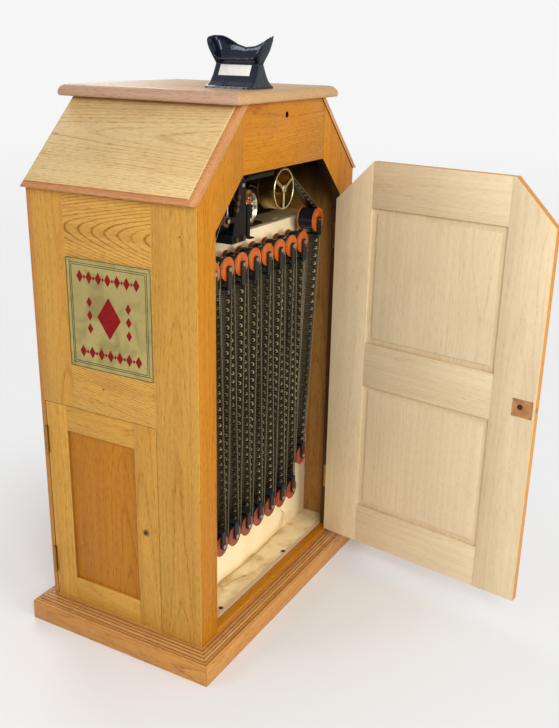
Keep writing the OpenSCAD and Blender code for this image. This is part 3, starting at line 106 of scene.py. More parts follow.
class Tree:
    """Short calls that add nodes to one node tree and link them.

    A value given to any of them is a number, or the socket that feeds it.
    """

    def __init__(self, tree: bpy.types.NodeTree) -> None:
        """Keeps the tree that the nodes go into."""
        self.tree = tree

    def feed(self, node: bpy.types.Node, inputs: dict) -> None:
        """Sets a node's sockets.

        Args:
            node: The node.
            inputs: Socket name or number to a value or to a socket that feeds it.
        """
        for key, value in inputs.items():
            if isinstance(value, Socket):
                self.tree.links.new(value, node.inputs[key])
            else:
                node.inputs[key].default_value = value

    def add(self, kind: str, inputs: dict | None = None, **settings: object) -> bpy.types.Node:
        """Adds a node.

        Args:
            kind: The node's type name without its "ShaderNode" start.
            inputs: What its sockets get.
            **settings: Properties of the node, set before its sockets.

        Returns:
            The new node.
        """
        node = self.tree.nodes.new("ShaderNode" + kind)
        for name, value in settings.items():
            setattr(node, name, value)
        self.feed(node, inputs or {})
        return node

    def math(self, operation: str, *values: Value, clamp: bool = False) -> Socket:
        """Adds a Math node and returns its result."""
        inputs = dict(enumerate(values))
        return self.add("Math", inputs, operation=operation, use_clamp=clamp).outputs[0]

    # The usual operations by name; line is the first value times the second plus the third
    plus = partialmethod(math, "ADD")
    minus = partialmethod(math, "SUBTRACT")
    times = partialmethod(math, "MULTIPLY")
    over = partialmethod(math, "DIVIDE")
    line = partialmethod(math, "MULTIPLY_ADD")

    def vector(self, operation: str, *values: Value) -> Socket:
        """Adds a Vector Math node and returns its result."""
        node = self.add("VectorMath", dict(enumerate(values)), operation=operation)
        return node.outputs["Value" if operation == "LENGTH" else "Vector"]

    def noise(self, place: Socket, scale: float = 1.0, detail: float = 2.0,
              distortion: float = 0.0, squeeze: tuple | None = None) -> Socket:
        """Adds a noise texture and returns its value from 0 to 1.

        Args:
            place: Where the noise is read.
            scale: How many times finer than a metre it is.
            detail: How many finer layers it has.
            distortion: How far it is stirred.
            squeeze: Three numbers that the place is first multiplied by.

        Returns:
            The value.
        """
        if squeeze:
            place = self.vector("MULTIPLY", place, squeeze)
        inputs = {"Vector": place, "Scale": scale, "Detail": detail, "Distortion": distortion}
        return self.add("TexNoise", inputs).outputs[0]

    def step(self, value: Value, low: float, high: float, start: float = 0.0,
             end: float = 1.0) -> Socket:
        """Maps a value smoothly from the span low to high onto start to end."""
        inputs = {0: value, 1: low, 2: high, 3: start, 4: end}
        return self.add("MapRange", inputs, interpolation_type="SMOOTHSTEP").outputs[0]

    def within(self, value: Value, rise: tuple[float, float], fall: tuple[float, float]) -> Socket:
        """Returns 1 between two spans, over which it rises from 0 and falls to 0."""
        return self.times(self.step(value, *rise), self.step(value, *fall, 1.0, 0.0))

    def mix(self, factor: Value, first: Value, second: Value, blend: str = "MIX") -> Socket:
        """Mixes two colours by a factor."""
        inputs = {0: factor, 6: first, 7: second}
        return self.add("Mix", inputs, data_type="RGBA", blend_type=blend).outputs[2]

    def split(self, vector: Socket) -> list[Socket]:
        """Returns the three parts of a vector."""
        return list(self.add("SeparateXYZ", {0: vector}).outputs)

    def join(self, *parts: Value) -> Socket:
        """Returns a vector of up to three parts; a missing one is 0."""
        return self.add("CombineXYZ", dict(enumerate(parts))).outputs[0]

    def chance(self, number: Socket) -> Socket:
        """Returns a fixed random value from 0 to 1 for each whole number."""
        return self.add("TexWhiteNoise", {"W": number}, noise_dimensions="1D").outputs[0]

    def attribute(self, name: str, part: str = "Fac") -> Socket:
        """Reads an attribute of the mesh."""
        return self.add("Attribute", attribute_name=name).outputs[part]

    def place(self) -> Socket:
        """Returns the place on the object in metres."""
        return self.add("TexCoord").outputs["Object"]

    def raised(self, height: Socket, depth: float, strength: float) -> Socket:
        """Returns the normal of a surface with a small relief, depth in metres."""
        inputs = {"Height": height, "Distance": depth, "Strength": strength}
        return self.add("Bump", inputs).outputs[0]

    def group(self, tree: bpy.types.NodeTree, inputs: dict) -> bpy.types.NodeOutputs:
        """Places a shared node group with its own values and returns what it puts out."""
        return self.add("Group", inputs, node_tree=tree).outputs


class Effect(Tree):
    """A node group in the making, which several finishes share."""

    def __init__(self, name: str, inputs: dict[str, float | tuple]) -> None:
        """Makes the group with its named inputs.

        Args:
            name: The group's name.
            inputs: Input names to their default values; a tuple makes a vector.
        """
        super().__init__(bpy.data.node_groups.new(name, "ShaderNodeTree"))
        for key, value in inputs.items():
            kind = "NodeSocketVector" if isinstance(value, tuple) else "NodeSocketFloat"
            socket = self.tree.interface.new_socket(key, in_out="INPUT", socket_type=kind)
            socket.default_value = value
        self.given = self.tree.nodes.new("NodeGroupInput").outputs

    def close(self, **masks: Socket) -> bpy.types.NodeTree:
        """Gives the group its named outputs.

        Args:
            **masks: What feeds each of them.

        Returns:
            The finished group.
        """
        for key in masks:
            self.tree.interface.new_socket(key, in_out="OUTPUT", socket_type="NodeSocketFloat")
        self.feed(self.tree.nodes.new("NodeGroupOutput"), masks)
        return self.tree


@cache
def oak_figure() -> bpy.types.NodeTree:
    """Builds the figure of sawn oak, once.

    Growth rings are shells round the tree's heart: the ring's number is the distance
    from the heart line, with a slow drift and a slope along the board, divided by the
    ring width. Pores are fine noise drawn out along the grain, thickest where a ring
    begins. Flecks are short pale lenses across the grain.

    Returns:
        The group.
    """
    t = Effect("oak_figure", {"Grain": (0.0, 0.0, 0.0), "Heart": (0.0, 0.0, 0.0), "Ring": 0.004,
                              "Drift": 0.01, "Slope": 0.012})
    grain, heart, ring, drift, slope = list(t.given)[:5]
    along, wide, deep = t.split(grain)
    heart_wide, heart_deep, seed = t.split(heart)
    place = t.vector("ADD", grain, t.join(seed, seed, seed))
    slow = t.noise(place, 1.6, 1.0, squeeze=(0.9, 2.2, 2.2))
    wobble = t.noise(place, 1.0, 3.0, squeeze=(5.0, 22.0, 22.0))
    radius = t.vector("LENGTH", t.join(t.minus(wide, heart_wide), t.minus(deep, heart_deep)))
    radius = t.plus(radius, t.times(t.minus(slow, 0.5), drift))
    radius = t.plus(radius, t.times(t.minus(wobble, 0.5), ring))
    count = t.over(t.plus(radius, t.times(along, slope)), ring)
    year = t.step(t.chance(t.math("FLOOR", count)), 0.0, 1.0, 0.45, 1.0)
    early = t.times(t.within(t.math("FRACT", count), (0.0, 0.1), (0.1, 0.36)), year)
    pore = t.step(t.noise(place, 1.0, 3.0, squeeze=(62.0, 430.0, 430.0)), 0.5, 0.64)
    fleck = t.step(t.noise(place, 1.0, 2.0, 0.4, squeeze=(60.0, 250.0, 250.0)), 0.52, 0.68)
    broad = t.noise(place, 1.0, 4.0, squeeze=(1.2, 9.0, 9.0))
    streak = t.noise(place, 1.0, 3.0, squeeze=(2.2, 95.0, 95.0))
    return t.close(Ring=early, Pore=t.times(pore, t.line(early, 0.6, 0.4)), Fleck=fleck,
                   Tone=t.times(t.plus(broad, streak), 0.5))


@cache
def surface_wear() -> bpy.types.NodeTree:
    """Builds soft stains, fine dust and scratches as masks on a place, once.

    Returns:
        The group.
    """
    t = Effect("surface_wear", {"Place": (0.0, 0.0, 0.0), "Size": 0.05})
    fine = {0: t.given["Place"], "Scale": t.over(1.0, t.given["Size"])}
    place = t.add("VectorMath", fine, operation="SCALE").outputs[0]
    return t.close(
        Stain=t.step(t.noise(place, 1.0, 5.0, 0.6), 0.42, 0.72),
        Dust=t.step(t.noise(place, 9.0, 3.0), 0.5, 0.75),
        Scratch=t.step(t.noise(place, 1.0, 2.0, 1.2, squeeze=(6.0, 38.0, 11.0)), 0.62, 0.7),
    )


@dataclass(frozen=True)
class Finish:
    """A named finish; each kind of finish says what its shader gets."""

    name: str

    def material(self) -> bpy.types.Material:
        """Makes the material and feeds its Principled shader.

        Returns:
            The new material.
        """
        material = bpy.data.materials.new(self.name)
        material.use_nodes = True
        t = Tree(material.node_tree)
        t.feed(material.node_tree.nodes["Principled BSDF"], self.sockets(t))
        return material

    def sockets(self, t: Tree) -> dict:
        """Returns the shader's sockets by name, each with its value or what feeds it."""
        return {}


@dataclass(frozen=True)
class Oak(Finish):
    """Varnished or bare oak, on boards that carry their grain as attributes.

    Inner and trim faces take their own two colours, light and dark. Inner faces grow
    dark with their height between two given heights, as painted shade of the cabinet's
    dark top.
    """

    light: Rgb
    dark: Rgb
    inner: tuple[Rgb, Rgb] | None = None
    trim: tuple[Rgb, Rgb] | None = None
    ring: float = 0.0038
    drift: float = 0.03
    slope: float = 0.012
    contrast: float = 0.55
    blotch: float = 0.3
    rough: float = 0.45
    coat: float = 0.1
    pores: float = 0.65
    flecks: float = 0.4
    stains: float = 0.16
    stain_size: float = 0.16
    relief: float = 0.00012
    # The two heights over which painted shade darkens the inner faces
    shade_heights: tuple[float, float] = (8.0, 9.0)

    def sockets(self, t: Tree) -> dict:
        """Mixes the wood's two colours by its rings and tone, and adds pores and stains.

        Args:
            t: The material's tree.

        Returns:
            The shader's sockets by name, each with its value or what feeds it.
        """
        figure = t.group(oak_figure(), {
            "Grain": t.attribute("grain", "Vector"), "Heart": t.attribute("heart", "Vector"),
            "Ring": self.ring, "Drift": self.drift, "Slope": self.slope,
        })
        light, dark = screen(self.light), screen(self.dark)
        for mask in ("inner", "trim"):
            if pair := getattr(self, mask):
                factor = t.attribute(mask)
                light = t.mix(factor, light, screen(pair[0]))
                dark = t.mix(factor, dark, screen(pair[1]))
        calm = t.line(t.attribute("trim"), -0.7, 1.0)
        weight = t.times(t.times(figure["Ring"], self.contrast), calm)
        tone = t.times(t.step(figure["Tone"], 0.36, 0.64), self.blotch)
        colour = t.mix(t.plus(weight, tone, clamp=True), light, dark)
        colour = t.mix(t.times(figure["Fleck"], self.flecks), colour, light)
        pore = t.mix(1.0, dark, PORE, "MULTIPLY")
        colour = t.mix(t.times(figure["Pore"], self.pores), colour, pore)
        # Painted shade: inner faces darken towards GLOOM between the two shade heights
        high = t.times(t.step(t.split(t.place())[2], *self.shade_heights), t.attribute("inner"))
        colour = t.mix(high, colour, t.mix(1.0, colour, GLOOM, "MULTIPLY"))
        wear = t.group(surface_wear(), {"Place": t.place(), "Size": self.stain_size})
        rough = t.line(figure["Pore"], 0.2, self.rough)
        height = t.line(figure["Pore"], -1.0, t.times(figure["Ring"], -0.4))
        return {
            "Base Color": t.mix(t.times(wear["Stain"], self.stains), colour, dark),
            "Roughness": t.plus(rough, t.times(wear["Dust"], 0.08)),
            "Normal": t.raised(height, self.relief, 0.5),
            "Coat Weight": self.coat, "Coat Roughness": 0.12, "Specular IOR Level": 0.12,
        }


@dataclass(frozen=True)
class Coating(Finish):
    """Paint, enamel, rubber or metal with stains, rubbed spots, dust and small dents."""

    colour: Rgb
    stain: Rgb
    worn: Rgb
    rough: float = 0.5
    size: float = 0.06
    stain_weight: float = 0.5
    wear_weight: float = 0.3
    metallic: float = 0.0
    coat: float = 0.0
    shine: float = 0.5
    tinge: tuple[float, ...] = WHITE
    dent: float = 0.0001

    def sockets(self, t: Tree) -> dict:
        """Lays stains and rubbed spots on the colour by the place on the object.

        Args:
            t: The material's tree.

        Returns:
            The shader's sockets by name, each with its value or what feeds it.
        """
        place = t.place()
        wear = t.group(surface_wear(), {"Place": place, "Size": self.size})
        stain = t.times(wear["Stain"], self.stain_weight)
        colour = t.mix(stain, screen(self.colour), screen(self.stain))
        colour = t.mix(t.times(wear["Scratch"], self.wear_weight), colour, screen(self.worn))
        rough = t.line(wear["Dust"], 0.12, self.rough)
        dents = t.noise(place, 4.0 / self.size, 3.0)
        return {
            "Base Color": self.tint(t, place, colour),
            "Roughness": t.plus(rough, t.times(wear["Stain"], 0.08)),
            "Metallic": self.metallic, "Coat Weight": self.coat, "Coat Roughness": 0.06,
            "Specular IOR Level": self.shine, "Specular Tint": self.tinge,
            "Normal": t.raised(dents, self.dent, 0.6),
        }

    def tint(self, t: Tree, place: Socket, colour: Socket) -> Socket:
        """Changes the colour by place; the plain coating leaves it as it is."""
        return colour


@dataclass(frozen=True)
class BandedCoating(Coating):
    """A coating with another colour between two planes across one axis."""

    band: Rgb = (90, 90, 90)
    axis: int = 1
    start: float = 0.0
    end: float = 0.01
    edge: float = 0.004

    def tint(self, t: Tree, place: Socket, colour: Socket) -> Socket:
        """Mixes the band's colour in, with a wavering edge.

        Args:
            t: The material's tree.
            place: The place on the object.
            colour: The coating's colour there.

        Returns:
            The colour with the band on it.
        """
        waver = t.line(t.noise(place, 24.0, 3.0), self.edge * 2, -self.edge)
        across = t.plus(t.split(place)[self.axis], waver)
        rise, fall = ((at - self.edge / 4, at + self.edge / 4) for at in (self.start, self.end))
        return t.mix(t.within(across, rise, fall), colour, screen(self.band))


@dataclass(frozen=True)
class Glass(Finish):
    """Clear or tinted glass."""

    colour: Rgb
    rough: float = 0.02

    def sockets(self, t: Tree) -> dict:
        """Smears the roughness faintly.

        Args:
            t: The material's tree.

        Returns:
            The shader's sockets by name, each with its value or what feeds it.
        """
        smear = t.line(t.noise(t.place(), 120.0, 3.0), 0.06, self.rough)
        return {"Base Color": screen(self.colour), "Roughness": smear, "Transmission Weight": 1.0,
                "IOR": 1.5}


@dataclass(frozen=True)
class FilmBase(Finish):
    """Developed film: dark pictures between clear lines, on the strip's own UV map."""

    base: Rgb
    dark: Rgb
    pale: Rgb
    frame_pitch: float = 0.019
    strip: float = 0.035

    def sockets(self, t: Tree) -> dict:
        """Draws a pale moon in each picture, and a painted glint along the film's edge; u runs along
        the film in metres, v across.

        Args:
            t: The material's tree.

        Returns:
            The shader's sockets by name, each with its value or what feeds it.
        """
        base, dark, pale = screen(self.base), screen(self.dark), screen(self.pale)
        along, across, _ = t.split(t.add("UVMap", uv_map="strip").outputs[0])
        count = t.over(along, self.frame_pitch)
        place, number = t.math("FRACT", count), t.math("FLOOR", count)
        side = t.over(across, self.strip)
        picture = t.times(t.within(side, (0.14, 0.16), (0.84, 0.86)),
                          t.within(place, (0.03, 0.08), (0.9, 0.95)))
        x = t.minus(side, t.line(t.chance(number), 0.04, 0.28))
        spot = t.join(x, t.times(t.minus(place, 0.5), 0.54))
        tones = t.noise(t.vector("ADD", spot, t.join(0.0, 0.0, number)), 14.0, 3.0, 1.0)
        disc = t.step(t.line(tones, 0.06, t.vector("LENGTH", spot)), 0.13, 0.17, 1.0, 0.0)
        bite = t.vector("LENGTH", t.vector("ADD", spot, (-0.045, 0.02, 0.0)))
        scene = t.step(t.noise(t.join(t.times(along, 2.6)), 1.0, 1.0), 0.35, 0.65, 0.08, 0.6)
        moon = t.times(t.times(disc, t.step(bite, 0.06, 0.11)), scene)
        shade = t.mix(t.times(t.step(tones, 0.4, 0.75), 0.6), dark, base)
        colour = t.mix(picture, base, t.mix(moon, shade, pale))
        # Painted glint: a pale line along the film's edge
        rim = t.times(t.step(side, 0.03, 0.06, 1.0, 0.0), 0.2)
        return {"Base Color": t.mix(rim, colour, pale), "Roughness": t.line(tones, 0.15, 0.18),
                "Coat Weight": 0.4, "Coat Roughness": 0.1}


class Shape:
    """Gathers surfaces into one mesh, each with the number of its finish."""

    def __init__(self) -> None:
        """Starts with nothing in it."""
        self.points: list[Array] = []
        self.faces: list[list[int]] = []
        self.slots: list[int] = []
        self.count = 0

    def add(self, points: Array, faces: Array | list, slot: int = 0) -> Shape:
        """Adds points with faces on them.

        Args:
            points: Places in metres.
            faces: Point numbers of each face, a row each, counted from 0.
            slot: The number of the finish.

        Returns:
            The shape itself.
        """
        self.points.append(np.asarray(points, float).reshape(-1, 3))
        self.faces += (np.asarray(faces) + self.count).tolist()
        self.slots += [slot] * len(faces)
        self.count += len(self.points[-1])
        return self

    def grid(self, points: Array, slot: int = 0, ring: bool = False) -> Shape:
        """Adds a grid of points as quads, where the last column joins the first.

        Args:
            points: The places, of the form rows, columns, 3.
            slot: The number of the finish.
            ring: Whether the last row joins the first too.

        Returns:
            The shape itself.
        """
        rows, cols = points.shape[:2]
        a, b = np.indices((rows if ring else rows - 1, cols))
        a2, b2 = (a + 1) % rows, (b + 1) % cols
        quads = np.stack([a * cols + b, a2 * cols + b, a2 * cols + b2, a * cols + b2], -1)
        return self.add(points, quads.reshape(-1, 4), slot)

    def tube(self, rings: Array) -> Shape:
        """Adds a tube through rings of points, with a flat cap on each end."""
        cap = [range(rings.shape[1])]
        return self.grid(rings).add(rings[0], cap).add(rings[-1], cap)

    def build(self, name: str, finishes: list[bpy.types.Material], ease: float = 0.0,
              angle: float = 35.0) -> bpy.types.Object:
        """Makes the object: points that meet are joined and faces turned outwards.

        Args:
            name: The piece's name.
            finishes: Materials by number.
            ease: Width of the rounding of its sharp edges in metres, or 0.
            angle: Edges sharper than this many degrees stay sharp.

        Returns:
            The new object.
        """
        mesh = bpy.data.meshes.new(name)
        mesh.from_pydata(np.vstack(self.points).tolist(), [], self.faces)
        mesh.polygons.foreach_set("material_index", self.slots)
        solid = bmesh.new()
        solid.from_mesh(mesh)
        bmesh.ops.remove_doubles(solid, verts=solid.verts, dist=MEET)
        bmesh.ops.recalc_face_normals(solid, faces=solid.faces)
        if ease:
            ease_edges(solid, ease)
        solid.to_mesh(mesh)
        solid.free()
        return show(name, mesh, finishes, angle)


def show(name: str, mesh: bpy.types.Mesh, finishes: list[bpy.types.Material],
         angle: float = 35.0) -> bpy.types.Object:
    """Puts a mesh into the scene as an object, smooth between its sharp edges.

    Args:
        name: The object's name.
        mesh: The mesh.
        finishes: Its materials.
        angle: Edges sharper than this many degrees stay sharp.

    Returns:
        The new object.
    """
    for finish in finishes:
        mesh.materials.append(finish)
    mesh.shade_smooth()
    mesh.set_sharp_from_angle(angle=math.radians(angle))
    piece = bpy.data.objects.new(name, mesh)
    bpy.context.scene.collection.objects.link(piece)
    return piece


def ease_edges(solid: bmesh.types.BMesh, width: float, sharp: float = 30.0) -> None:
    """Rounds every edge that is sharper than some degrees.

    Args:
        solid: The mesh being edited.
        width: Width of the rounding in metres.
        sharp: The least angle between two faces that counts as an edge.
    """
    limit = math.radians(sharp)
    edges = [e for e in solid.edges if len(e.link_faces) == 2 and e.calc_face_angle(0.0) > limit]
    bmesh.ops.bevel(
        solid, geom=edges, offset=width, offset_type="OFFSET", segments=2, profile=0.5,
        affect="EDGES", clamp_overlap=True,
    )


def read(items: bpy.types.bpy_prop_collection, name: str, width: int, kind: type = float) -> Array:
    """Reads one property of a mesh's vertices, edges or faces.

    Args:
        items: The vertices, edges or faces.
        name: The property's name.
        width: How many numbers each of them has.
        kind: The type of those numbers.

    Returns:
        The numbers, a row for each item.
    """
    values = np.empty(len(items) * width, kind)
    items.foreach_get(name, values)
    return values.reshape(-1, width)


class Axis(Enum):
    """The way that a turned shape or a board's grain runs."""

    X = 0
    Y = 1
    Z = 2


def circle(steps: int, width: float = 1.0, height: float = 1.0) -> Array:
    """Returns points round an ellipse of two half sizes: their cosine and sine shares."""
    a = np.linspace(0, 2 * np.pi, steps, endpoint=False)
    return np.column_stack([width * np.cos(a), height * np.sin(a)])


def turned(profile: Array, centre: Array, axis: Axis, steps: int = 48) -> Array:
    """Turns a profile round an axis: radius times (cos, sin) of an angle, at its height.

    Args:
        profile: Rows of radius and height in millimetres.
        centre: The point on the axis at height 0, in metres.
        axis: The axis.
        steps: Points round the circle.

    Returns:
        A grid of places of the form profile, steps, 3.
    """
    radius, height = np.hsplit(np.array(profile) * MM, 2)
    flat = radius[..., None] * circle(steps)
    local = np.concatenate([flat, np.broadcast_to(height[..., None], (len(height), steps, 1))], -1)
    return np.roll(local, axis.value - 2, axis=-1) + centre


def rounded(half: Array, radius: float, steps: int = 5) -> Array:
    """Outline of a rectangle with round corners round the origin.

    Args:
        half: Its two half sizes.
        radius: Radius of the corners.
        steps: Points on each corner, less one.

    Returns:
        Points in two columns, anticlockwise.
    """
    a = np.radians(np.arange(4)[:, None] * 90 + np.linspace(0, 90, steps + 1))
    corner = QUARTERS * (half - radius)
    return (corner[:, None] + radius * np.stack([np.cos(a), np.sin(a)], -1)).reshape(-1, 2)


def swept(path: Array, section: Array, up: tuple[float, float, float] = (0, 0, 1)) -> Array:
    """Carries a section along a path, square to it.

    The section's x runs along the cross product of the path's direction and the up
    vector, and its y along the cross product of that with the direction.

    Args:
        path: Places in metres.
        section: Points of the section in two columns.
        up: A vector that the path never runs along.

    Returns:
        A grid of places of the form path, section, 3.
    """
    way = np.gradient(path, axis=0)
    way /= np.linalg.norm(way, axis=1, keepdims=True)
    side = np.cross(way, up)
    side /= np.linalg.norm(side, axis=1, keepdims=True)
    top = np.cross(side, way)
    return path[:, None] + side[:, None] * section[None, :, :1] + top[:, None] * section[None, :, 1:]


def smooth_route(points: Array, steps: int) -> Array:
    """Draws one smooth curve through a list of points.

    Between two points it is a cubic, whose slope at each point is half the way from the
    point before it to the point after it.

    Args:
        points: The places.
        steps: Points of the curve for each stretch.

    Returns:
        The places on the curve.
    """
    ends = np.vstack([2 * points[0] - points[1], points, 2 * points[-1] - points[-2]])
    a, b, c, d = ends[:-3, None], ends[1:-2, None], ends[2:-1, None], ends[3:, None]
    t = np.linspace(0, 1, steps, endpoint=False)[None, :, None]
    curve = b + 0.5 * t * (c - a + t * (2 * a - 5 * b + 4 * c - d + t * (3 * (b - c) + d - a)))
    return np.vstack([curve.reshape(-1, 3), points[-1:]])


def islands(edges: Array, count: int) -> Array:
    """Numbers the separate solids of a mesh.

    Every point takes the lowest number among its neighbours until none changes.

    Args:
        edges: Point numbers of each edge.
        count: How many points there are.

    Returns:
        The solid's number for each point, from 0.
    """
    label = np.arange(count)
    while True:
        fresh = label.copy()
        for column in edges.T:
            np.minimum.at(fresh, column, label[edges].min(1))
        fresh = fresh[fresh]
        if np.array_equal(fresh, label):
            return np.unique(label, return_inverse=True)[1]
        label = fresh


class Look(Enum):
    """Every finish but the oak boards', by the pieces that wear it."""

    # On the backboard, the dark band above 0.944 m is painted shade of the cabinet's unlit top
    CREAM = BandedCoating(
        "cream_board", (253, 234, 190), (238, 208, 150), (206, 176, 122), 0.6, 0.14, 0.6, 0.15,
        dent=0.0002, band=(30, 24, 20), axis=2, start=0.944, end=2.0, edge=0.003)
    SOILED = BandedCoating(
        "floor_board", (232, 208, 158), (188, 148, 90), (160, 124, 76), 0.6, 0.06, 0.8,
        dent=0.0002, band=(204, 172, 140), start=-0.3, end=-0.176, edge=0.008)
    # The shelf's dark band from its front strip backwards is painted shade from the header above it
    SHELF = BandedCoating(
        "shelf_board", (206, 170, 118), (150, 114, 70), (120, 88, 52), 0.65, band=(40, 30, 22),
        start=-0.03, end=0.5, edge=0.006)
    # Dark brown of painted shade: the plinth's creases and the floor's screw holes
    CREVICE_SHADE = Coating(
        "crevice_shade_brown", (112, 64, 26), (70, 38, 14), (150, 94, 44), 0.3, 0.03, coat=0.4)
    SOFTWOOD = Coating("batten_wood", (170, 132, 84), (130, 96, 58), (190, 156, 108), 0.7)
    SLATE = Coating(
        "bracket_slate", (22, 26, 29), (14, 17, 20), (84, 90, 92), 0.3, 0.012, wear_weight=0.25,
        shine=0.35)
    STEEL = Coating(
        "bright_steel", (196, 196, 192), (140, 136, 128), (226, 226, 224), 0.24, 0.01,
        metallic=1.0)
    BRASS = Coating(
        "hinge_brass", (158, 124, 62), (104, 76, 36), (206, 176, 110), 0.3, 0.02, metallic=1.0)
    DRUM = Coating(
        "sprocket_brass", (168, 140, 84), (84, 60, 36), (228, 206, 150), 0.28, 0.03, 0.7,
        metallic=1.0)
    RIM = Coating(
        "rim_brass", (214, 206, 150), (150, 134, 80), (244, 240, 210), 0.22, 0.02, metallic=1.0)
    # The reflector's near-black stains and pale worn spots are painted reflection, standing in for the
    # dark and bright things it mirrors
    MIRROR = Coating(
        "reflector_metal", (196, 186, 150), (44, 36, 26), (244, 236, 210), 0.16, 0.014, 0.95,
        0.6, metallic=1.0)
    BLACK = Coating(
        "black_casting", (15, 15, 17), (9, 9, 10), (70, 68, 66), 0.42, 0.02, wear_weight=0.35,
        shine=0.15)
    EBONITE = Coating(
        "spool_roller", (24, 25, 28), (38, 36, 34), (60, 60, 62), 0.28, 0.015, shine=0.35)
    ORANGE = Coating(
        "spool_flange", (190, 88, 20), (140, 54, 12), (224, 140, 66), 0.3, 0.02, 0.55, coat=0.2)
    # The bottom spools' flanges: the top ones' orange painted darker as shade
    ORANGE_IN_SHADE = Coating(
        "spool_flange_in_shade", (146, 58, 16), (88, 32, 10), (204, 108, 44), 0.22, 0.02, 0.6,
        coat=0.3)
    ROLLER = Coating("guide_roller", (96, 52, 32), (56, 28, 18), (130, 84, 56), 0.4)
    JAR = Coating("battery_jar", (44, 50, 50), (70, 74, 70), (90, 96, 92), 0.45)
    # tinge colours the enamel's reflections blue, a painted colour of the light it reflects
    ENAMEL = Coating(
        "eyepiece_enamel", (8, 11, 22), (5, 6, 12), (34, 42, 62), 0.1, 0.05, wear_weight=0.12,
        shine=0.45, tinge=(0.66, 0.76, 1.0, 1.0), dent=0.0009)
    LABEL = Coating(
        "eyepiece_label", (232, 232, 224), (206, 200, 184), (160, 156, 148), 0.3, 0.02, 0.3,
        coat=0.4)
    COPPER = Coating(
        "lock_copper", (196, 142, 92), (132, 84, 46), (222, 176, 120), 0.36, 0.015, metallic=0.6)
    PLATE = Coating(
        "plate_brass", (188, 170, 108), (130, 118, 66), (220, 208, 156), 0.34, 0.05, 0.6,
        metallic=0.8, dent=0.0006)
    RULE = Coating(
        "plate_rule", (78, 76, 34), (50, 46, 22), (120, 112, 60), 0.45, 0.02, metallic=0.5)
    CRIMSON = Coating(
        "plate_enamel", (132, 18, 20), (96, 8, 12), (190, 70, 56), 0.6, 0.01, shine=0.1)
    RUST = Coating(
        "rusty_steel", (92, 62, 44), (52, 34, 26), (150, 130, 112), 0.45, 0.008, 0.8,
        metallic=0.7)
    WIRE = Coating("wire_cover", (196, 164, 92), (140, 110, 54), (90, 70, 36), 0.5, 0.02)
    AMBER = Glass("amber_glass", (196, 116, 50))
    CLEAR = Glass("lens_glass", (236, 242, 244))
    FILM = FilmBase("film_strip", (60, 51, 34), (16, 16, 13), (214, 198, 150))


class Workshop:
    """The frame's nodes and one material for each finish."""

    def __init__(self, frame: dict) -> None:
        """Keeps the frame's nodes and starts with no material made."""
        self.nodes = frame["nodes"]
        self.materials: dict[Look, bpy.types.Material] = {}

    def finish(self, look: Look) -> bpy.types.Material:
        """Makes the material of a finish on its first use.

        Args:
            look: The finish.

        Returns:
            The material.
        """
        if look not in self.materials:
            self.materials[look] = look.value.material()
        return self.materials[look]

    def dress(self, look: Look, *nodes: str) -> None:
        """Puts a finish on nodes that keep their CAD shape.

        Args:
            look: The finish.
            *nodes: The nodes' names.
        """
        for node in nodes:
            piece = self.nodes[node]
            if not piece.data.materials:
                piece.data.materials.append(None)
            for place in piece.material_slots:
                place.link = "OBJECT"
                place.material = self.finish(look)
            log.info("dressed %s", node)

    def ease(self, node: str, body: str, slot: str, finish: Look | Oak, width: float = 0.6,
             name: str = "eased", sharp: float = 50.0, angle: float = 30.0) -> bpy.types.Object:
        """Makes a copy of a node with softened edges in its place.

        Args:
            node: The node's name.
            body: The body that it rides on.
            slot: The record's material slot.
            finish: The finish that it wears.
            width: Width of the softened edges in millimetres.
            name: What the piece's name has after the node's.
            sharp: Edges sharper than this many degrees are softened.
            angle: Edges that are then still sharper than this stay sharp.

        Returns:
            The new piece.
        """
        name = f"{node}_{name}"
        mesh = bpy.data.meshes.new(name)
        solid = bmesh.new()
        solid.from_mesh(self.nodes[node].data)
        bmesh.ops.remove_doubles(solid, verts=solid.verts, dist=WELD)
        bmesh.ops.dissolve_limit(solid, angle_limit=FLAT, verts=solid.verts, edges=solid.edges)
        ease_edges(solid, width * MM, sharp)
        bmesh.ops.triangulate(solid, faces=[f for f in solid.faces if len(f.verts) > 4])
        solid.to_mesh(mesh)
        solid.free()
        material = self.finish(finish) if isinstance(finish, Look) else finish.material()
        return self.mount(show(name, mesh, [material], angle), body, slot, node)

    def mount(self, piece: bpy.types.Object, body: str, slot: str, *nodes: str) -> bpy.types.Object:
        """Lets a piece ride on a body.

        Args:
            piece: The piece.
            body: The body's name.
            slot: The record's material slot; not used.
            *nodes: Nodes that it stands for.

        Returns:
            The piece.
        """
        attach(piece, body)
        if nodes:
            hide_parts(*nodes)
        log.info("made %s", piece.name)
        return piece

    def corners(self, node: str) -> Array:
        """Returns the lowest and highest corners of a node's box, a row each."""
        return np.array(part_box(node))

    def middle(self, node: str) -> Array:
        """Returns the middle of a node's box."""
        return self.corners(node).mean(0)


class Skin(Enum):
    """Which faces of a wooden piece take the inner colours: painted shade inside the cabinet, and the
    pale inner face of the big door.
    """

    NONE = "none"
    CABINET = "faces turned to the cabinet's middle"
    DOOR = "all but the outer face and the outer edges of the big door"


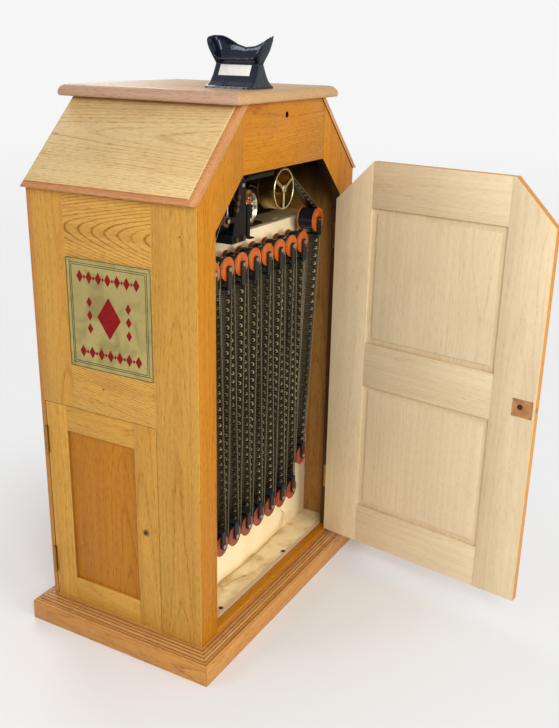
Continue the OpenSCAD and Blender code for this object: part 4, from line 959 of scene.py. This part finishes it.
@dataclass
class Boards:
    """A wooden node as its boards, with softened edges and a grain for each of them.

    The grain runs along an axis or, without one, along each board's longest side. The
    heart line lies to one side of a board and behind it, moved by up to a share of the
    board's width. Trim faces lie past one of two distances from the cabinet's middle.
    """

    node: str
    body: str
    slot: str
    finish: Oak
    grain: Axis | None = None
    heart: tuple[float, float] = (0.0, 0.11)
    shift: float = 0.4
    skin: Skin = Skin.NONE
    trim: tuple[float, float] = (9.0, 9.0)
    turned: float = 0.0
    ease: float = 0.7
    seed: int = 1

    def build(self, shop: Workshop) -> None:
        """Makes the piece in place of its node."""
        piece = shop.ease(self.node, self.body, self.slot, self.finish, self.ease, "oak", 30.0, 40.0)
        self.mark(piece.data)

    def mark(self, mesh: bpy.types.Mesh) -> None:
        """Writes each board's grain, the place of its heart, and the inner and trim faces.

        Args:
            mesh: The boards' mesh.
        """
        points = read(mesh.vertices, "co", 3)
        number = islands(read(mesh.edges, "vertices", 2, int), len(points))
        local = points @ self.turning()
        rng = np.random.default_rng(self.seed)
        grain, heart = np.empty_like(local), np.empty_like(local)
        for k in range(number.max() + 1):
            own = number == k
            low, high = local[own].min(0), local[own].max(0)
            order = np.argsort(low - high, kind="stable")
            if self.grain:
                order = np.concatenate([[self.grain.value], order[order != self.grain.value]])
            grain[own] = (local[own] - (low + high) / 2)[:, order]
            shift = rng.uniform(-self.shift, self.shift) * (high - low)[order[1]]
            depth = self.heart[1] * rng.uniform(0.8, 1.3)
            heart[own] = [self.heart[0] + shift, depth, rng.uniform(1, 60)]
        for name, values in (("grain", grain), ("heart", heart)):
            layer = mesh.attributes.new(name, "FLOAT_VECTOR", "POINT")
            layer.data.foreach_set("vector", values.ravel().astype(np.float32))
        centre, normal = read(mesh.polygons, "center", 3), read(mesh.polygons, "normal", 3)
        past = np.any(np.abs(centre[:, :2]) > np.array(self.trim), axis=1)
        for name, values in (("inner", self.inner(centre, normal, local)), ("trim", past)):
            layer = mesh.attributes.new(name, "FLOAT", "FACE")
            layer.data.foreach_set("value", values.astype(np.float32))

    def turning(self) -> Array:
        """Returns the matrix that turns points of an open door back to the shut door."""
        a = math.radians(self.turned)
        return np.array([[math.cos(a), -math.sin(a), 0], [math.sin(a), math.cos(a), 0], [0, 0, 1]])

    def inner(self, centre: Array, normal: Array, local: Array) -> Array:
        """Finds the faces that take the inner finish.

        On the cabinet such a face's normal points to the upright through its middle. On
        the door it is any face but those in the outer half and those on the outline,
        where no point of the door lies further along the face's own normal.

        Args:
            centre: The faces' middles.
            normal: The faces' normals.
            local: The points, as they lie with the door shut.

        Returns:
            1 for each such face, and 0 for the others.
        """
        if self.skin is Skin.CABINET:
            return np.sum(centre[:, :2] * normal[:, :2], 1) < -0.002
        if self.skin is Skin.DOOR:
            turn = self.turning()
            centre, normal = centre @ turn, normal @ turn
            half = (local[:, 1].min() + local[:, 1].max()) / 2
            flat = normal * np.array([1, 0, 1])
            reach = np.array([np.max(local @ way) for way in flat])
            outline = (np.linalg.norm(flat, axis=1) > 0.5) & (np.sum(centre * flat, 1) > reach - MM)
            return (centre[:, 1] > half) & ~outline
        return np.zeros(len(centre))


def stand(name: str, data: bpy.types.ID, right: Array, back: Array, place: tuple) -> bpy.types.Object:
    """Adds a camera or a lamp, which looks along its own -Z.

    Args:
        name: The object's name.
        data: The camera or the light.
        right: The direction of its own X.
        back: The direction of its own Z.
        place: Where it stands, in metres.

    Returns:
        The new object.
    """
    matrix = np.eye(4)
    matrix[:3, :4] = np.column_stack([right, np.cross(back, right), back, place])
    item = bpy.data.objects.new(name, data)
    item.matrix_world = Matrix(matrix.tolist())
    bpy.context.scene.collection.objects.link(item)
    return item


@dataclass(frozen=True)
class Lamp:
    """A soft square lamp: where it hangs, what it shines at, its width and its watts."""

    name: str
    place: tuple[float, float, float]
    target: tuple[float, float, float]
    size: float
    power: float

    def hang(self) -> None:
        """Adds the lamp to the scene."""
        data = bpy.data.lights.new(self.name, "AREA")
        data.size, data.energy = self.size, self.power
        back = np.array(self.place) - self.target
        back /= np.linalg.norm(back)
        right = np.cross((0, 0, 1), back)
        stand(self.name, data, right / np.linalg.norm(right), back, self.place)


@dataclass
class Studio:
    """Camera, floor, light and background.

    The floor turns from its own grey into a plain glow over the two distances of fade,
    and from the ground's grey to the background's over those of haze.
    """

    place: tuple[float, float, float] = (-1.7065, -1.1509, 1.3092)
    right: tuple[float, float, float] = (0.491213, -0.870840, 0.018627)
    down: tuple[float, float, float] = (-0.282662, -0.179596, -0.942257)
    lens: float = 44.91
    view_end: float = 200.0
    background: float = 0.922
    ground: float = 0.85
    floor_grey: float = 0.82
    sky: float = 0.55
    fade: tuple[float, float] = (0.4, 1.2)
    haze: tuple[float, float] = (2.0, 12.0)
    floor_half: float = 30.0
    lamps: tuple[Lamp, ...] = (
        Lamp("key", (-2.9, -2.6, 2.7), (0.0, 0.0, 0.65), 1.6, 85.0),
        Lamp("front", (-0.5, -3.6, 1.6), (0.1, -0.1, 0.5), 1.6, 50.0),
        Lamp("window", (-2.4, 1.6, 1.9), (0.0, 0.0, 1.2), 0.7, 12.0),
        Lamp("behind", (2.6, 3.2, 3.0), (0.0, 0.0, 0.6), 2.0, 60.0))

    def camera(self) -> None:
        """Sets the camera where the photograph was taken from."""
        data = bpy.data.cameras.new("photo_camera")
        data.lens, data.clip_end = self.lens, self.view_end
        back = np.cross(self.down, self.right)
        bpy.context.scene.camera = stand("photo_camera", data, self.right, back, self.place)

    def floor(self) -> None:
        """Lays the pale floor."""
        material = Finish("studio_floor").material()
        t = Tree(material.node_tree)
        shader = t.tree.nodes["Principled BSDF"]
        grey = (self.floor_grey, self.floor_grey, self.floor_grey, 1.0)
        t.feed(shader, {"Base Color": grey, "Roughness": 0.9, "Specular IOR Level": 0.1})
        distance = t.vector("LENGTH", t.place())
        seen = t.times(t.step(distance, *self.fade), t.add("LightPath").outputs["Is Camera Ray"])
        pale = t.step(distance, *self.haze, self.ground, self.background)
        plain = t.add("Emission", {"Strength": pale}).outputs[0]
        both = t.add("MixShader", {0: seen, 1: shader.outputs[0], 2: plain}).outputs[0]
        t.feed(t.tree.nodes["Material Output"], {0: both})
        corners = np.array([[-1, -1, 0], [1, -1, 0], [1, 1, 0], [-1, 1, 0]]) * self.floor_half
        Shape().add(corners, [[0, 1, 2, 3]]).build("studio_floor", [material])

    def world(self) -> None:
        """Lights the scene softly from all round; eye, gloss and glass see a pale grey."""
        world = bpy.data.worlds.new("studio")
        bpy.context.scene.world = world
        world.use_nodes = True
        t = Tree(world.node_tree)
        path = t.add("LightPath").outputs
        seen = t.math("MAXIMUM", path["Is Camera Ray"], path["Is Transmission Ray"])
        seen = t.math("MAXIMUM", seen, path["Is Glossy Ray"])
        soft = t.add("Background", {"Color": WHITE, "Strength": self.sky}).outputs[0]
        grey = (self.background, self.background, self.background, 1.0)
        plain = t.add("Background", {"Color": grey, "Strength": 1.0}).outputs[0]
        both = t.add("MixShader", {0: seen, 1: soft, 2: plain}).outputs[0]
        t.feed(t.tree.nodes["World Output"], {0: both})

    def build(self) -> None:
        """Lays the floor and sets the light."""
        self.floor()
        self.world()
        for lamp in self.lamps:
            lamp.hang()


@dataclass
class Assembly:
    """A sub-assembly that is made in the workshop; its sizes are in millimetres."""

    shop: Workshop


@dataclass
class LeadWire(Assembly):
    """The thin twin wire that lies on the cabinet's floor."""

    radius: float = 0.75
    width: float = 3.0
    route: tuple[tuple[float, float, float], ...] = (
        (195, -107, 121), (195, -113, 121), (194, -117, 119), (192, -118, 114), (189, -118, 104),
        (184, -118, 93), (178, -118, 83), (170, -118, 77), (160, -118, 74.2), (147, -117, 73.7),
        (110, -119, 73.7), (70, -121, 73.7), (30, -121, 73.7), (-5, -122, 73.7), (-45, -120, 73.7),
        (-80, -118, 73.7), (-105, -116, 73.7), (-119, -117, 73.7), (-126, -121, 73.7),
        (-127, -127, 73.7), (-122, -132, 73.7), (-112, -134, 73.7), (-92, -139, 73.7),
        (-76, -145, 73.7), (-68, -147.5, 74), (-63, -148, 73.8), (-59.5, -148, 72),
        (-57.5, -148, 69), (-57, -148, 65), (-57, -148, 57),
    )

    def build(self) -> None:
        """Makes the wire and carries its section along its route.

        The section is that of two strands side by side: of a circle's x and y, the x
        times 1 + |x|.
        """
        path = smooth_route(np.array(self.route) * MM, 4)
        section = circle(24)
        section[:, 0] *= 1 + np.abs(section[:, 0])
        rings = swept(path, section * self.radius * MM, (0.05, 1.0, 0.1))
        wire = Shape().tube(rings).build("lead_wire_twin", [self.shop.finish(Look.WIRE)])
        self.shop.mount(wire, "root", "wire_yellow", "lead_wire")


@dataclass
class Cabinet(Assembly):
    """Every oak board of the cabinet and its doors, and the painted boards inside."""

    door_open: float = 82.0
    half: tuple[float, float] = (336.0, 210.0)
    reed: float = 0.8
    sunk: tuple[tuple[float, float], ...] = ((-201.0, -172.0), (91.0, -174.0))
    # Profile of the dark lining in the floor's screw holes, which is painted shade
    stain: tuple[tuple[float, float], ...] = (
        (5.0, -7.9), (4.6, -7.9), (4.6, 0.1), (5.3, 0.25), (6.2, 0.1), (6.2, -0.1))
    steps: tuple[tuple[float, float], ...] = (
        (31.0, 49.1), (24.6, 51.0), (20.6, 57.0), (14.2, 59.6), (7.0, 62.2))

    def build(self) -> None:
        """Makes all the boards."""
        # The inner pairs wall, gloom and the gable's dark one are painted shade on the faces inside the
        # cabinet; the doors' pale inner pairs are their own colour
        wall = ((158, 112, 56), (118, 78, 36))
        gloom = ((30, 23, 19), (20, 15, 12))
        golden = ((201, 152, 68), (171, 113, 38))
        varnished = ((206, 142, 60), (176, 108, 36))
        # Heights over which painted shade darkens the inner faces near the cabinet's top
        high = (0.88, 1.05)
        quiet = dict(ring=0.0028, contrast=0.4, blotch=0.4, shade_heights=high)
        faint = dict(ring=0.0032, contrast=0.22, blotch=0.34, pores=0.3)
        side = Oak("oak_side", *golden, wall, **quiet)
        panel = Oak("oak_side_panel", (209, 160, 77), (154, 97, 33), wall, ring=0.0056, drift=0.05,
                    slope=0.16, contrast=1.0, shade_heights=high)
        gable = Oak("oak_gable", (190, 124, 28), (154, 90, 13), ((84, 54, 32), (58, 36, 22)),
                    golden, **quiet)
        hood = Oak("oak_hood", (222, 192, 137), (181, 137, 80), gloom,
                   ((198, 140, 90), (156, 100, 58)), ring=0.005, drift=0.04, slope=0.03,
                   contrast=0.6, coat=0.2)
        # The lid's pinkish trim pair is a painted reflection on its rounded edges
        lid = Oak("oak_lid", (197, 160, 112), (167, 121, 73), gloom,
                  ((192, 154, 128), (160, 119, 92)), contrast=0.4)
        base = Oak("oak_plinth", (203, 145, 77), (159, 103, 50), wall, ring=0.003, contrast=0.45)
        back = Oak("oak_back", (188, 130, 64), (152, 96, 44), gloom)
        pale = Oak("door_frame", *varnished, ((230, 209, 172), (204, 178, 136)), **faint)
        field = Oak("door_field", *varnished, ((232, 211, 174), (206, 180, 138)), **faint)
        small = Oak("side_door_panel", (184, 120, 32), (154, 89, 20), wall, **quiet)
        inside = dict(skin=Skin.CABINET)
        door = dict(skin=Skin.DOOR, turned=self.door_open)
        for boards in (
            Boards("plinth", "root", "oak_plinth", base, seed=3),
            Boards("gable_frame", "root", "oak_gable", gable, trim=(0.3355, 9.0), seed=5, **inside),
            Boards("side_frames", "root", "oak_frame", side, seed=7, **inside),
            Boards("side_panels", "root", "oak_panel", panel, Axis.Y, (0.16, 0.02), 0.0, seed=8,
                   **inside),
            Boards("side_door_frame", "side_door", "oak_frame", side, seed=9, **inside),
            Boards("side_door_panel", "side_door", "oak_panel", small, seed=11, **inside),
            Boards("back_wall", "root", "oak_back", back, Axis.Z, seed=13, **inside),
            Boards("hood_panels", "root", "oak_hood", hood, Axis.Y, (-0.02, 0.06), 0.1,
                   trim=(0.345, 0.2005), seed=15, **inside),
            Boards("top_board", "root", "oak_lid", lid, trim=(0.197, 9.0), seed=17),
            Boards("main_door_frame", "main_door", "pale_wood", pale, seed=19, **door),
            Boards("main_door_panels", "main_door", "pale_panel", field, Axis.Z, seed=21, **door),
        ):
            boards.build(self.shop)
        self.shop.ease("cabinet_floor", "root", "cream_paint", Look.SOILED)
        self.shop.ease("backboard", "root", "cream_paint", Look.CREAM)
        self.shop.ease("mechanism_shelf", "root", "shelf_wood", Look.SHELF)
        self.shop.dress(Look.SOFTWOOD, "battens")
        self.reeds()
        # Painted shade in the floor's screw holes
        self.stains()

    def reeds(self) -> None:
        """Lays thin dark reeds along the steps of the plinth's moulding, as painted shade in its
        creases.
        """
        shape = Shape()
        for step in self.steps:
            out, height = (circle(12, self.reed, self.reed) + step).T
            ring = np.empty((4, len(out), 3))
            ring[..., :2] = QUARTERS[:, None] * (np.array(self.half) + out[:, None])
            ring[..., 2] = height
            shape.grid(ring * MM, ring=True)
        piece = shape.build("plinth_reeds", [self.shop.finish(Look.CREVICE_SHADE)])
        self.shop.mount(piece, "root", "oak_plinth")

    def stains(self) -> None:
        """Lines the floor's two sunk screw holes with a dark brown ring, which is painted shade inside
        them.
        """
        top = self.shop.corners("cabinet_floor")[1, 2]
        shape = Shape()
        for x, y in self.sunk:
            centre = np.array([x * MM, y * MM, top])
            shape.grid(turned(self.stain, centre, Axis.Z, 32), ring=True)
        piece = shape.build("floor_hole_shade", [self.shop.finish(Look.CREVICE_SHADE)])
        self.shop.mount(piece, "root", "cream_paint")


@dataclass
class Hardware(Assembly):
    """Hinges, locks, screws and the name plate."""

    plate_face: float = 337.5
    # Insets of the rules: the first, at the plate's edge, is a painted shadow line; the other two make
    # the double border
    border: tuple[float, ...] = (0.3, 9.0, 13.0)
    line: float = 1.3
    line_relief: float = 0.3
    relief: float = 0.7
    corners: tuple[float, float] = (3.0, 2.1)

    def build(self) -> None:
        """Dresses the metal pieces and makes the plate's ornament."""
        shop = self.shop
        shop.dress(Look.BRASS, "fixed_hinge_leaves", "main_door_hinge_leaves", "side_door_hardware",
                   "lock_bolt")
        shop.dress(Look.STEEL, "spool_axles")
        shop.dress(Look.RUST, "steel_fasteners", "lock_cylinder", "side_lock_cam")
        shop.ease("lock_case", "main_door", "lock_copper", Look.COPPER, 0.3)
        shop.ease("name_plate", "root", "plate_brass", Look.PLATE, 0.3)
        self.rules()
        self.figures()

    def on_plate(self, *layers: tuple[Array, float]) -> Array:
        """Lays outlines before the plate, x across it and y up, from its middle.

        Args:
            *layers: Outlines and their heights above its face, in millimetres.

        Returns:
            A grid of places of the form layers, points, 3.
        """
        _, middle_y, middle_z = self.shop.middle("name_plate")
        rows = []
        for outline, height in layers:
            face = np.full(len(outline), -(self.plate_face + height) * MM)
            across, up = outline.T * MM
            rows.append(np.column_stack([face, middle_y - across, middle_z + up]))
        return np.stack(rows)

    def rules(self) -> None:
        """Makes the plate's double border and a dark line along its edge, which is painted shadow: low
        ridges between round-cornered outlines.
        """
        low, high = self.shop.corners("name_plate")
        half = (high - low)[1:] / MM / 2
        foot = -0.1
        shape = Shape()
        for inset in self.border:
            outer = rounded(half - inset, self.corners[0])
            inner = rounded(half - inset - self.line, self.corners[1])
            ridge = self.on_plate((outer, foot), (outer, self.line_relief),
                                  (inner, self.line_relief), (inner, foot))
            shape.grid(ridge, ring=True)
        piece = shape.build("name_plate_rules", [self.shop.finish(Look.RULE)])
        self.shop.mount(piece, "root", "plate_brass")

    def figures(self) -> None:
        """Makes the plate's lozenges: one large one, and small ones of three sizes."""
        columns = range(-72, 73, 24)
        rows = [(0, 0, 30.0, 44.0)]
        rows += [(x, z, 7.0, 11.0) for x in (-50, 50) for z in (-28, 0, 28)]
        rows += [(x, z, 8.0, 13.0) for z in (-80, 80) for x in columns]
        rows += [(x + 12, z, 3.0, 4.5) for z in (-80, 80) for x in columns[:-1]]
        foot = -0.2
        shape = Shape()
        for x, z, w, h in rows:
            outline = np.array([[x - w, z], [x, z - h], [x + w, z], [x, z + h]])
            shape.tube(self.on_plate((outline, foot), (outline, self.relief)))
        piece = shape.build("name_plate_lozenges", [self.shop.finish(Look.CRIMSON)], ease=0.3 * MM)
        self.shop.mount(piece, "root", "plate_brass")


@dataclass
class FilmTrain(Assembly):
    """Spools with their brackets, and the film that runs over them.

    Ring holds how far inside a flange's edge the four steps of its sunk ring lie. Slope
    is the length over which a roller narrows at each end.
    """

    roller: float = 22.5
    flange: float = 25.0
    corner_roller: float = 26.0
    corner_flange: float = 28.8
    length: float = 42.0
    flange_t: float = 2.0
    lip: float = 0.5
    groove: float = 0.35
    ring: tuple[float, ...] = (9.0, 8.4, 3.2, 2.6)
    slope: float = 1.2
    bore: float = 3.05
    film_w: float = 35.0
    clearance: float = 0.5
    guide_radii: tuple[float, float] = (10.0, 15.0)
    drum_wrap: float = 45.36
    hole_pitch: float = 4.75
    picture_holes: int = 4
    hole: tuple[float, float] = (2.8, 2.0)
    hole_edge: float = 2.0
    film_t: float = 0.25

    def build(self) -> None:
        """Makes the spools, brackets and film."""
        for row in ("top", "bottom"):
            for i in range(1, 9):
                self.spool(f"{row}_spool_{i}", f"{row}_{i}", self.roller, self.flange)
        self.spool("corner_spool", "corner", self.corner_roller, self.corner_flange)
        self.shop.ease("spool_brackets", "root", "bracket_slate", Look.SLATE, 0.4)
        self.film()

    def spool(self, node: str, body: str, roller: float, flange: float) -> None:
        """Turns one spool: a black roller between two orange flanges with round rims, painted darker on
        the bottom spools as shade.

        Args:
            node: The node that it replaces.
            body: The body that it rides on.
            roller: Radius of the roller.
            flange: Radius of the flanges.
        """
        half, lip, groove, slope = self.length / 2, self.lip, self.groove, self.slope
        back = half - self.flange_t
        inmost, inner, outer, outmost = flange - np.array(self.ring)
        face = np.array([
            (self.bore, half), (inmost, half), (inner, half - groove), (outer, half - groove),
            (outmost, half), (flange - lip, half), (flange, half - lip), (flange, back + lip),
            (flange - lip, back), (roller + 0.01, back),
        ])
        barrel = [(roller, back), (roller - groove, back - slope),
                  (roller - groove, slope - back), (roller, -back)]
        bore = [(self.bore, half), (self.bore, -half)]
        centre = self.shop.middle(node)
        shape = Shape()
        for slot, profile in ((1, face), (1, face * [1, -1]), (0, barrel), (0, bore)):
            shape.grid(turned(profile, centre, Axis.Y, 56), slot)
        # The bottom spools take the darker orange of painted shade
        looks = (Look.EBONITE, Look.ORANGE_IN_SHADE if "bottom" in node else Look.ORANGE)
        piece = shape.build(node + "_turned", [self.shop.finish(look) for look in looks])
        self.shop.mount(piece, body, "spool_ebonite", node)

    def wheels(self) -> Array:
        """Lists what the film runs over, in its order.

        Returns:
            Rows of x, z, radius of the film's middle and turning sense, in metres.
        """
        wrap = self.roller + self.clearance
        low, top = (radius + self.clearance for radius in self.guide_radii)
        rows = [("guide_roller_low", low, 1), ("guide_roller_top", top, 1),
                ("sprocket_shaft", self.drum_wrap, 1),
                ("corner_spool", self.corner_roller + self.clearance, 1), ("bottom_spool_8", wrap, 1)]
        for i in range(7, 0, -1):
            rows += [(f"top_spool_{i + 1}", wrap, -1), (f"bottom_spool_{i}", wrap, 1)]
        rows.append(("top_spool_1", wrap, 1))
        return np.array([[*self.shop.middle(node)[::2], radius * MM, sense]
                         for node, radius, sense in rows])

    def path(self, wheels: Array, steps: int = 36) -> Array:
        """Works out the film's closed path.

        The heading between two wheels is that of their centres plus the arc sine of the
        difference of their signed radii over the distance. On a wheel the film turns from
        one heading to the next, at its radius to the left or right of the centre.

        Args:
            wheels: Rows of x, z, radius and sense.
            steps: Points on each wheel.

        Returns:
            The path's points in two columns, x and z, the first one again at the end.
        """
        sense, signed = wheels[:, 3], wheels[:, 2] * wheels[:, 3]
        gap = np.roll(wheels[:, :2], -1, axis=0) - wheels[:, :2]
        lean = np.arcsin((np.roll(signed, -1) - signed) / np.linalg.norm(gap, axis=1))
        leave = np.arctan2(gap[:, 1], gap[:, 0]) + lean
        arrive = np.roll(leave, 1)
        turn = -sense * np.mod(sense * (arrive - leave), 2 * np.pi)
        heading = arrive[:, None] + turn[:, None] * np.linspace(0, 1, steps)
        offset = signed[:, None, None] * np.stack([-np.sin(heading), np.cos(heading)], -1)
        path = (wheels[:, None, :2] + offset).reshape(-1, 2)
        return np.vstack([path, path[:1]])

    def film(self) -> None:
        """Makes the film with a real hole at every perforation.

        Rows of points lie along the path at the start and the end of every perforation,
        in six columns across it; the cells of every other row that lie in the two
        perforated columns are left out, and the rest is given its thickness.
        """
        path = self.path(self.wheels())
        run = np.concatenate([[0], np.cumsum(np.linalg.norm(np.diff(path, axis=0), axis=1))])
        keep = np.concatenate([[True], np.diff(run) > MEET / 10])
        path, run = path[keep], run[keep]
        picture = self.hole_pitch * self.picture_holes * MM
        holes = int(round(run[-1] / picture)) * self.picture_holes
        share = self.hole[1] / self.hole_pitch
        u = (np.repeat(np.arange(holes), 2) + np.tile([0, share], holes)) * run[-1] / holes
        edge, wide, w = self.hole_edge * MM, self.hole[0] * MM, self.film_w * MM
        v = np.array([0, edge, edge + wide, w - edge - wide, w - edge, w])
        rows, cols = len(u), len(v)
        points = np.empty((rows, cols, 3))
        points[..., 0] = np.interp(u, run, path[:, 0])[:, None]
        points[..., 1] = self.shop.middle("top_spool_1")[1] - w / 2 + v
        points[..., 2] = np.interp(u, run, path[:, 1])[:, None]
        a, b = np.indices((rows, cols - 1))
        kept = ~((a % 2 == 0) & ((b == 1) | (b == 3)))
        a, b = a[kept], b[kept]
        a2 = (a + 1) % rows
        quads = np.stack([a * cols + b, a2 * cols + b, a2 * cols + b + 1, a * cols + b + 1], -1)
        mesh = bpy.data.meshes.new("film_strip")
        mesh.from_pydata(points.reshape(-1, 3).tolist(), [], quads.tolist())
        ahead = np.where(a2 == 0, run[-1], u[a2])
        along, across = (u[a], ahead, ahead, u[a]), (v[b], v[b], v[b + 1], v[b + 1])
        uv = np.stack([np.stack(along, -1), np.stack(across, -1)], -1)
        mesh.uv_layers.new(name="strip").data.foreach_set("uv", uv.ravel().astype(np.float32))
        film = show("film_strip", mesh, [self.shop.finish(Look.FILM)])
        solid = film.modifiers.new("thickness", "SOLIDIFY")
        solid.thickness, solid.offset = self.film_t * MM, 0.0
        self.shop.mount(film, "root", "film_base", "film_loop")


@dataclass
class Mechanism(Assembly):
    """The works on the shelf: frame, rollers, sprocket, lamp, shutter and motor."""

    bead_at: tuple[float, float] = (43.0, -0.2)
    bead: tuple[float, float] = (1.5, 1.0)
    hub: tuple[tuple[float, float], ...] = (
        (5.2, 2.0), (5.2, -2.2), (7.4, -2.2), (8.2, -1.4), (8.2, 2.0))
    spokes: tuple[float, ...] = (92.0, 212.0, 332.0)
    rib: tuple[float, float] = (0.85, 1.1)
    rib_reach: tuple[float, float] = (7.6, 42.5)
    rib_side: float = 2.4

    def build(self) -> None:
        """Dresses the castings and adds the sprocket's ribs and rims."""
        self.shop.ease("mechanism_frame", "root", "black_casting", Look.BLACK, 0.4)
        for look, *nodes in (
            (Look.BLACK, "motor_body", "shutter_disc", "lamp_socket"),
            (Look.ROLLER, "guide_roller_low", "guide_roller_top"),
            (Look.STEEL, "motor_shaft", "sprocket_shaft"), (Look.MIRROR, "lamp_reflector"),
            (Look.AMBER, "lamp_bulb"), (Look.DRUM, "drive_sprocket"), (Look.JAR, "battery_cells"),
        ):
            self.shop.dress(look, *nodes)
        self.sprocket_trim()

    def sprocket_trim(self) -> None:
        """Makes the bright front rim, the double ribs of the spokes and the hub's nut."""
        centre = self.shop.middle("sprocket_shaft")
        centre[1] = self.shop.corners("drive_sprocket")[0, 1]
        rim = circle(12, *self.bead) + self.bead_at
        shape = Shape().grid(turned(rim, centre, Axis.Y, 96), ring=True)
        shape.grid(turned(self.hub, centre, Axis.Y, 32))
        for angle in np.radians(self.spokes):
            out = np.array([np.cos(angle), 0, -np.sin(angle)])
            across = np.array([np.sin(angle), 0, np.cos(angle)])
            for side in (-self.rib_side, self.rib_side):
                start, end = (centre + (out * reach + across * side) * MM for reach in self.rib_reach)
                path = np.linspace(start, end, 4)
                shape.tube(swept(path, circle(12, *self.rib) * MM, (0.0, -1.0, 0.0)))
        piece = shape.build("sprocket_trim", [self.shop.finish(Look.RIM)])
        self.shop.mount(piece, "sprocket", "sprocket_brass")


@dataclass
class Eyepiece(Assembly):
    """The glossy hood that the viewer's face leans on, its lens and its label.

    At each of the heights it has two half sizes and a squareness. The saddle holds the
    rim's heights on its two short sides. Lean, drop and corner shape each ear. Above the
    foot the half sizes are smoothed over a window of samples.
    """

    heights: tuple[float, ...] = (0, 4, 5.5, 13, 24, 45, 46.5, 50, 55, 62, 73, 83, 92, 101)
    half_x: tuple[float, ...] = (46, 45.6, 41, 31, 22.9, 11.9, 10.8, 14, 18.5, 23, 26.5, 27.5, 27, 26)
    half_y: tuple[float, ...] = (
        55, 55, 54.5, 53.4, 52.2, 51, 51, 51.8, 53.2, 56.5, 62, 66, 69.5, 71)
    square: tuple[float, ...] = (
        0.08, 0.08, 0.1, 0.12, 0.14, 0.16, 0.2, 0.24, 0.28, 0.32, 0.36, 0.4, 0.42, 0.45)
    saddle: tuple[float, float] = (77.0, 56.0)
    ears: float = 99.0
    lean: tuple[float, float] = (0.68, 0.52)
    drop: tuple[float, float] = (0.4, 0.44)
    corner: tuple[float, float] = (0.87, 0.9)
    bulk: float = 1.4
    wall: float = 2.2
    bead: float = 2.0
    inside: float = 50.0
    lens_seat: tuple[float, float] = (7.6, 39.0)
    foot: float = 6.0
    samples: int = 229
    window: int = 15
    rows: int = 72
    cols: int = 128

    def build(self) -> None:
        """Makes the hood and dresses the lens and the label.

        The hood is one grid: a pole under its base, the outer skin up to the rim, the
        inner skin down to the hood's floor, and the lens's bore with a pole at its end.
        """
        low, high = self.shop.corners("eyepiece_hood")
        centre = np.array([*(low + high)[:2] / 2, low[2]])
        u = np.linspace(0, 2 * np.pi, self.cols, endpoint=False)
        rise = np.linspace(0, 1, self.rows)[:, None]
        rim = self.rim(u)
        outer = self.skin(u, rise * rim, 0.0)
        inner = self.skin(u, self.inside + (1 - rise) * (rim - self.inside), self.wall)
        radius, seat = self.lens_seat
        lens = ((self.shop.middle("eyepiece_lens") - centre) / MM)[:2]
        bore = np.empty((2, self.cols, 3))
        bore[..., :2] = circle(self.cols, radius, radius) + lens
        bore[..., 2] = np.array([[self.inside], [seat]])
        base, end = (ring.mean(1, keepdims=True).repeat(self.cols, 1) for ring in (outer[:1], bore[1:]))
        shape = Shape().grid(np.concatenate([base, outer, inner, bore, end]) * MM + centre)
        edge = (outer[-1] + inner[0]) / 2 * MM + centre
        around = np.vstack([edge[-2:], edge, edge[:2]])
        shape.grid(swept(around, circle(12) * self.bead * MM)[2:-2], ring=True)
        piece = shape.build("eyepiece_sculpted", [self.shop.finish(Look.ENAMEL)], angle=50.0)
        self.shop.mount(piece, "root", "hood_gloss", "eyepiece_hood")
        self.shop.dress(Look.CLEAR, "eyepiece_lens")
        self.shop.ease("eyepiece_label", "root", "label_ivory", Look.LABEL, 0.3)

    def rim(self, u: Array) -> Array:
        """Works out the rim's height round the hood: two ears, a saddle and a low side.

        The share of the half turn from the saddle, raised to a power under one, lifts the
        rim along a quarter wave up to the ear. From drop to corner half a wave of the
        cosine takes it down to the low side. The two ears have their own three values.

        Args:
            u: Angles round the hood.

        Returns:
            The height at each angle.
        """
        share = np.abs((u + np.pi) % (2 * np.pi) - np.pi) / np.pi
        ear = (np.sin(u) > 0).astype(int)
        lean, drop, corner = (np.array(v)[ear] for v in (self.lean, self.drop, self.corner))
        wave = np.sin(np.pi * np.minimum(share ** lean, 0.5)) ** self.bulk
        fall = np.clip((share - drop) / (corner - drop), 0, 1)
        top = self.saddle[0] + (self.ears - self.saddle[0]) * wave
        return self.saddle[1] + (top - self.saddle[1]) * (1 + np.cos(np.pi * fall)) / 2

    def skin(self, u: Array, z: Array, inset: float) -> Array:
        """Works out the surface at some heights.

        Round the hood it is a rounded rectangle: each half size times the cosine or sine
        raised to a power under one. The half sizes follow smooth curves of the height.

        Args:
            u: Angles round the hood.
            z: Heights, a row of them for each row of points.
            inset: How far inside the outer surface it lies.

        Returns:
            A grid of places of the form heights, angles, 3.
        """
        fine = np.linspace(0, self.ears, self.samples)
        kernel = np.hanning(self.window) / np.hanning(self.window).sum()
        blend = np.clip(fine / self.foot - 1, 0, 1)
        power = np.interp(z, self.heights, self.square)
        sides = []
        for values, wave in ((self.half_x, np.cos(u)), (self.half_y, np.sin(u))):
            raw = np.interp(fine, self.heights, values)
            soft = np.convolve(np.pad(raw, self.window // 2, "edge"), kernel, "valid")
            half = np.interp(z, fine, raw * (1 - blend) + soft * blend)
            sides.append((half - inset) * np.sign(wave) * np.abs(wave) ** power)
        return np.stack([*sides, z], -1)


def main() -> None:
    """Builds the studio and every piece in order."""
    logging.basicConfig(level=logging.INFO, format="%(message)s")
    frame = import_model()
    scene = bpy.context.scene
    scene.view_settings.view_transform = "Standard"
    studio = Studio()
    studio.camera()
    shop = Workshop(frame)
    LeadWire(shop).build()
    studio.build()
    for assembly in (Cabinet(shop), Hardware(shop), FilmTrain(shop), Mechanism(shop), Eyepiece(shop)):
        assembly.build()
        log.info("finished %s", type(assembly).__name__)


if __name__ == "__main__":
    main()
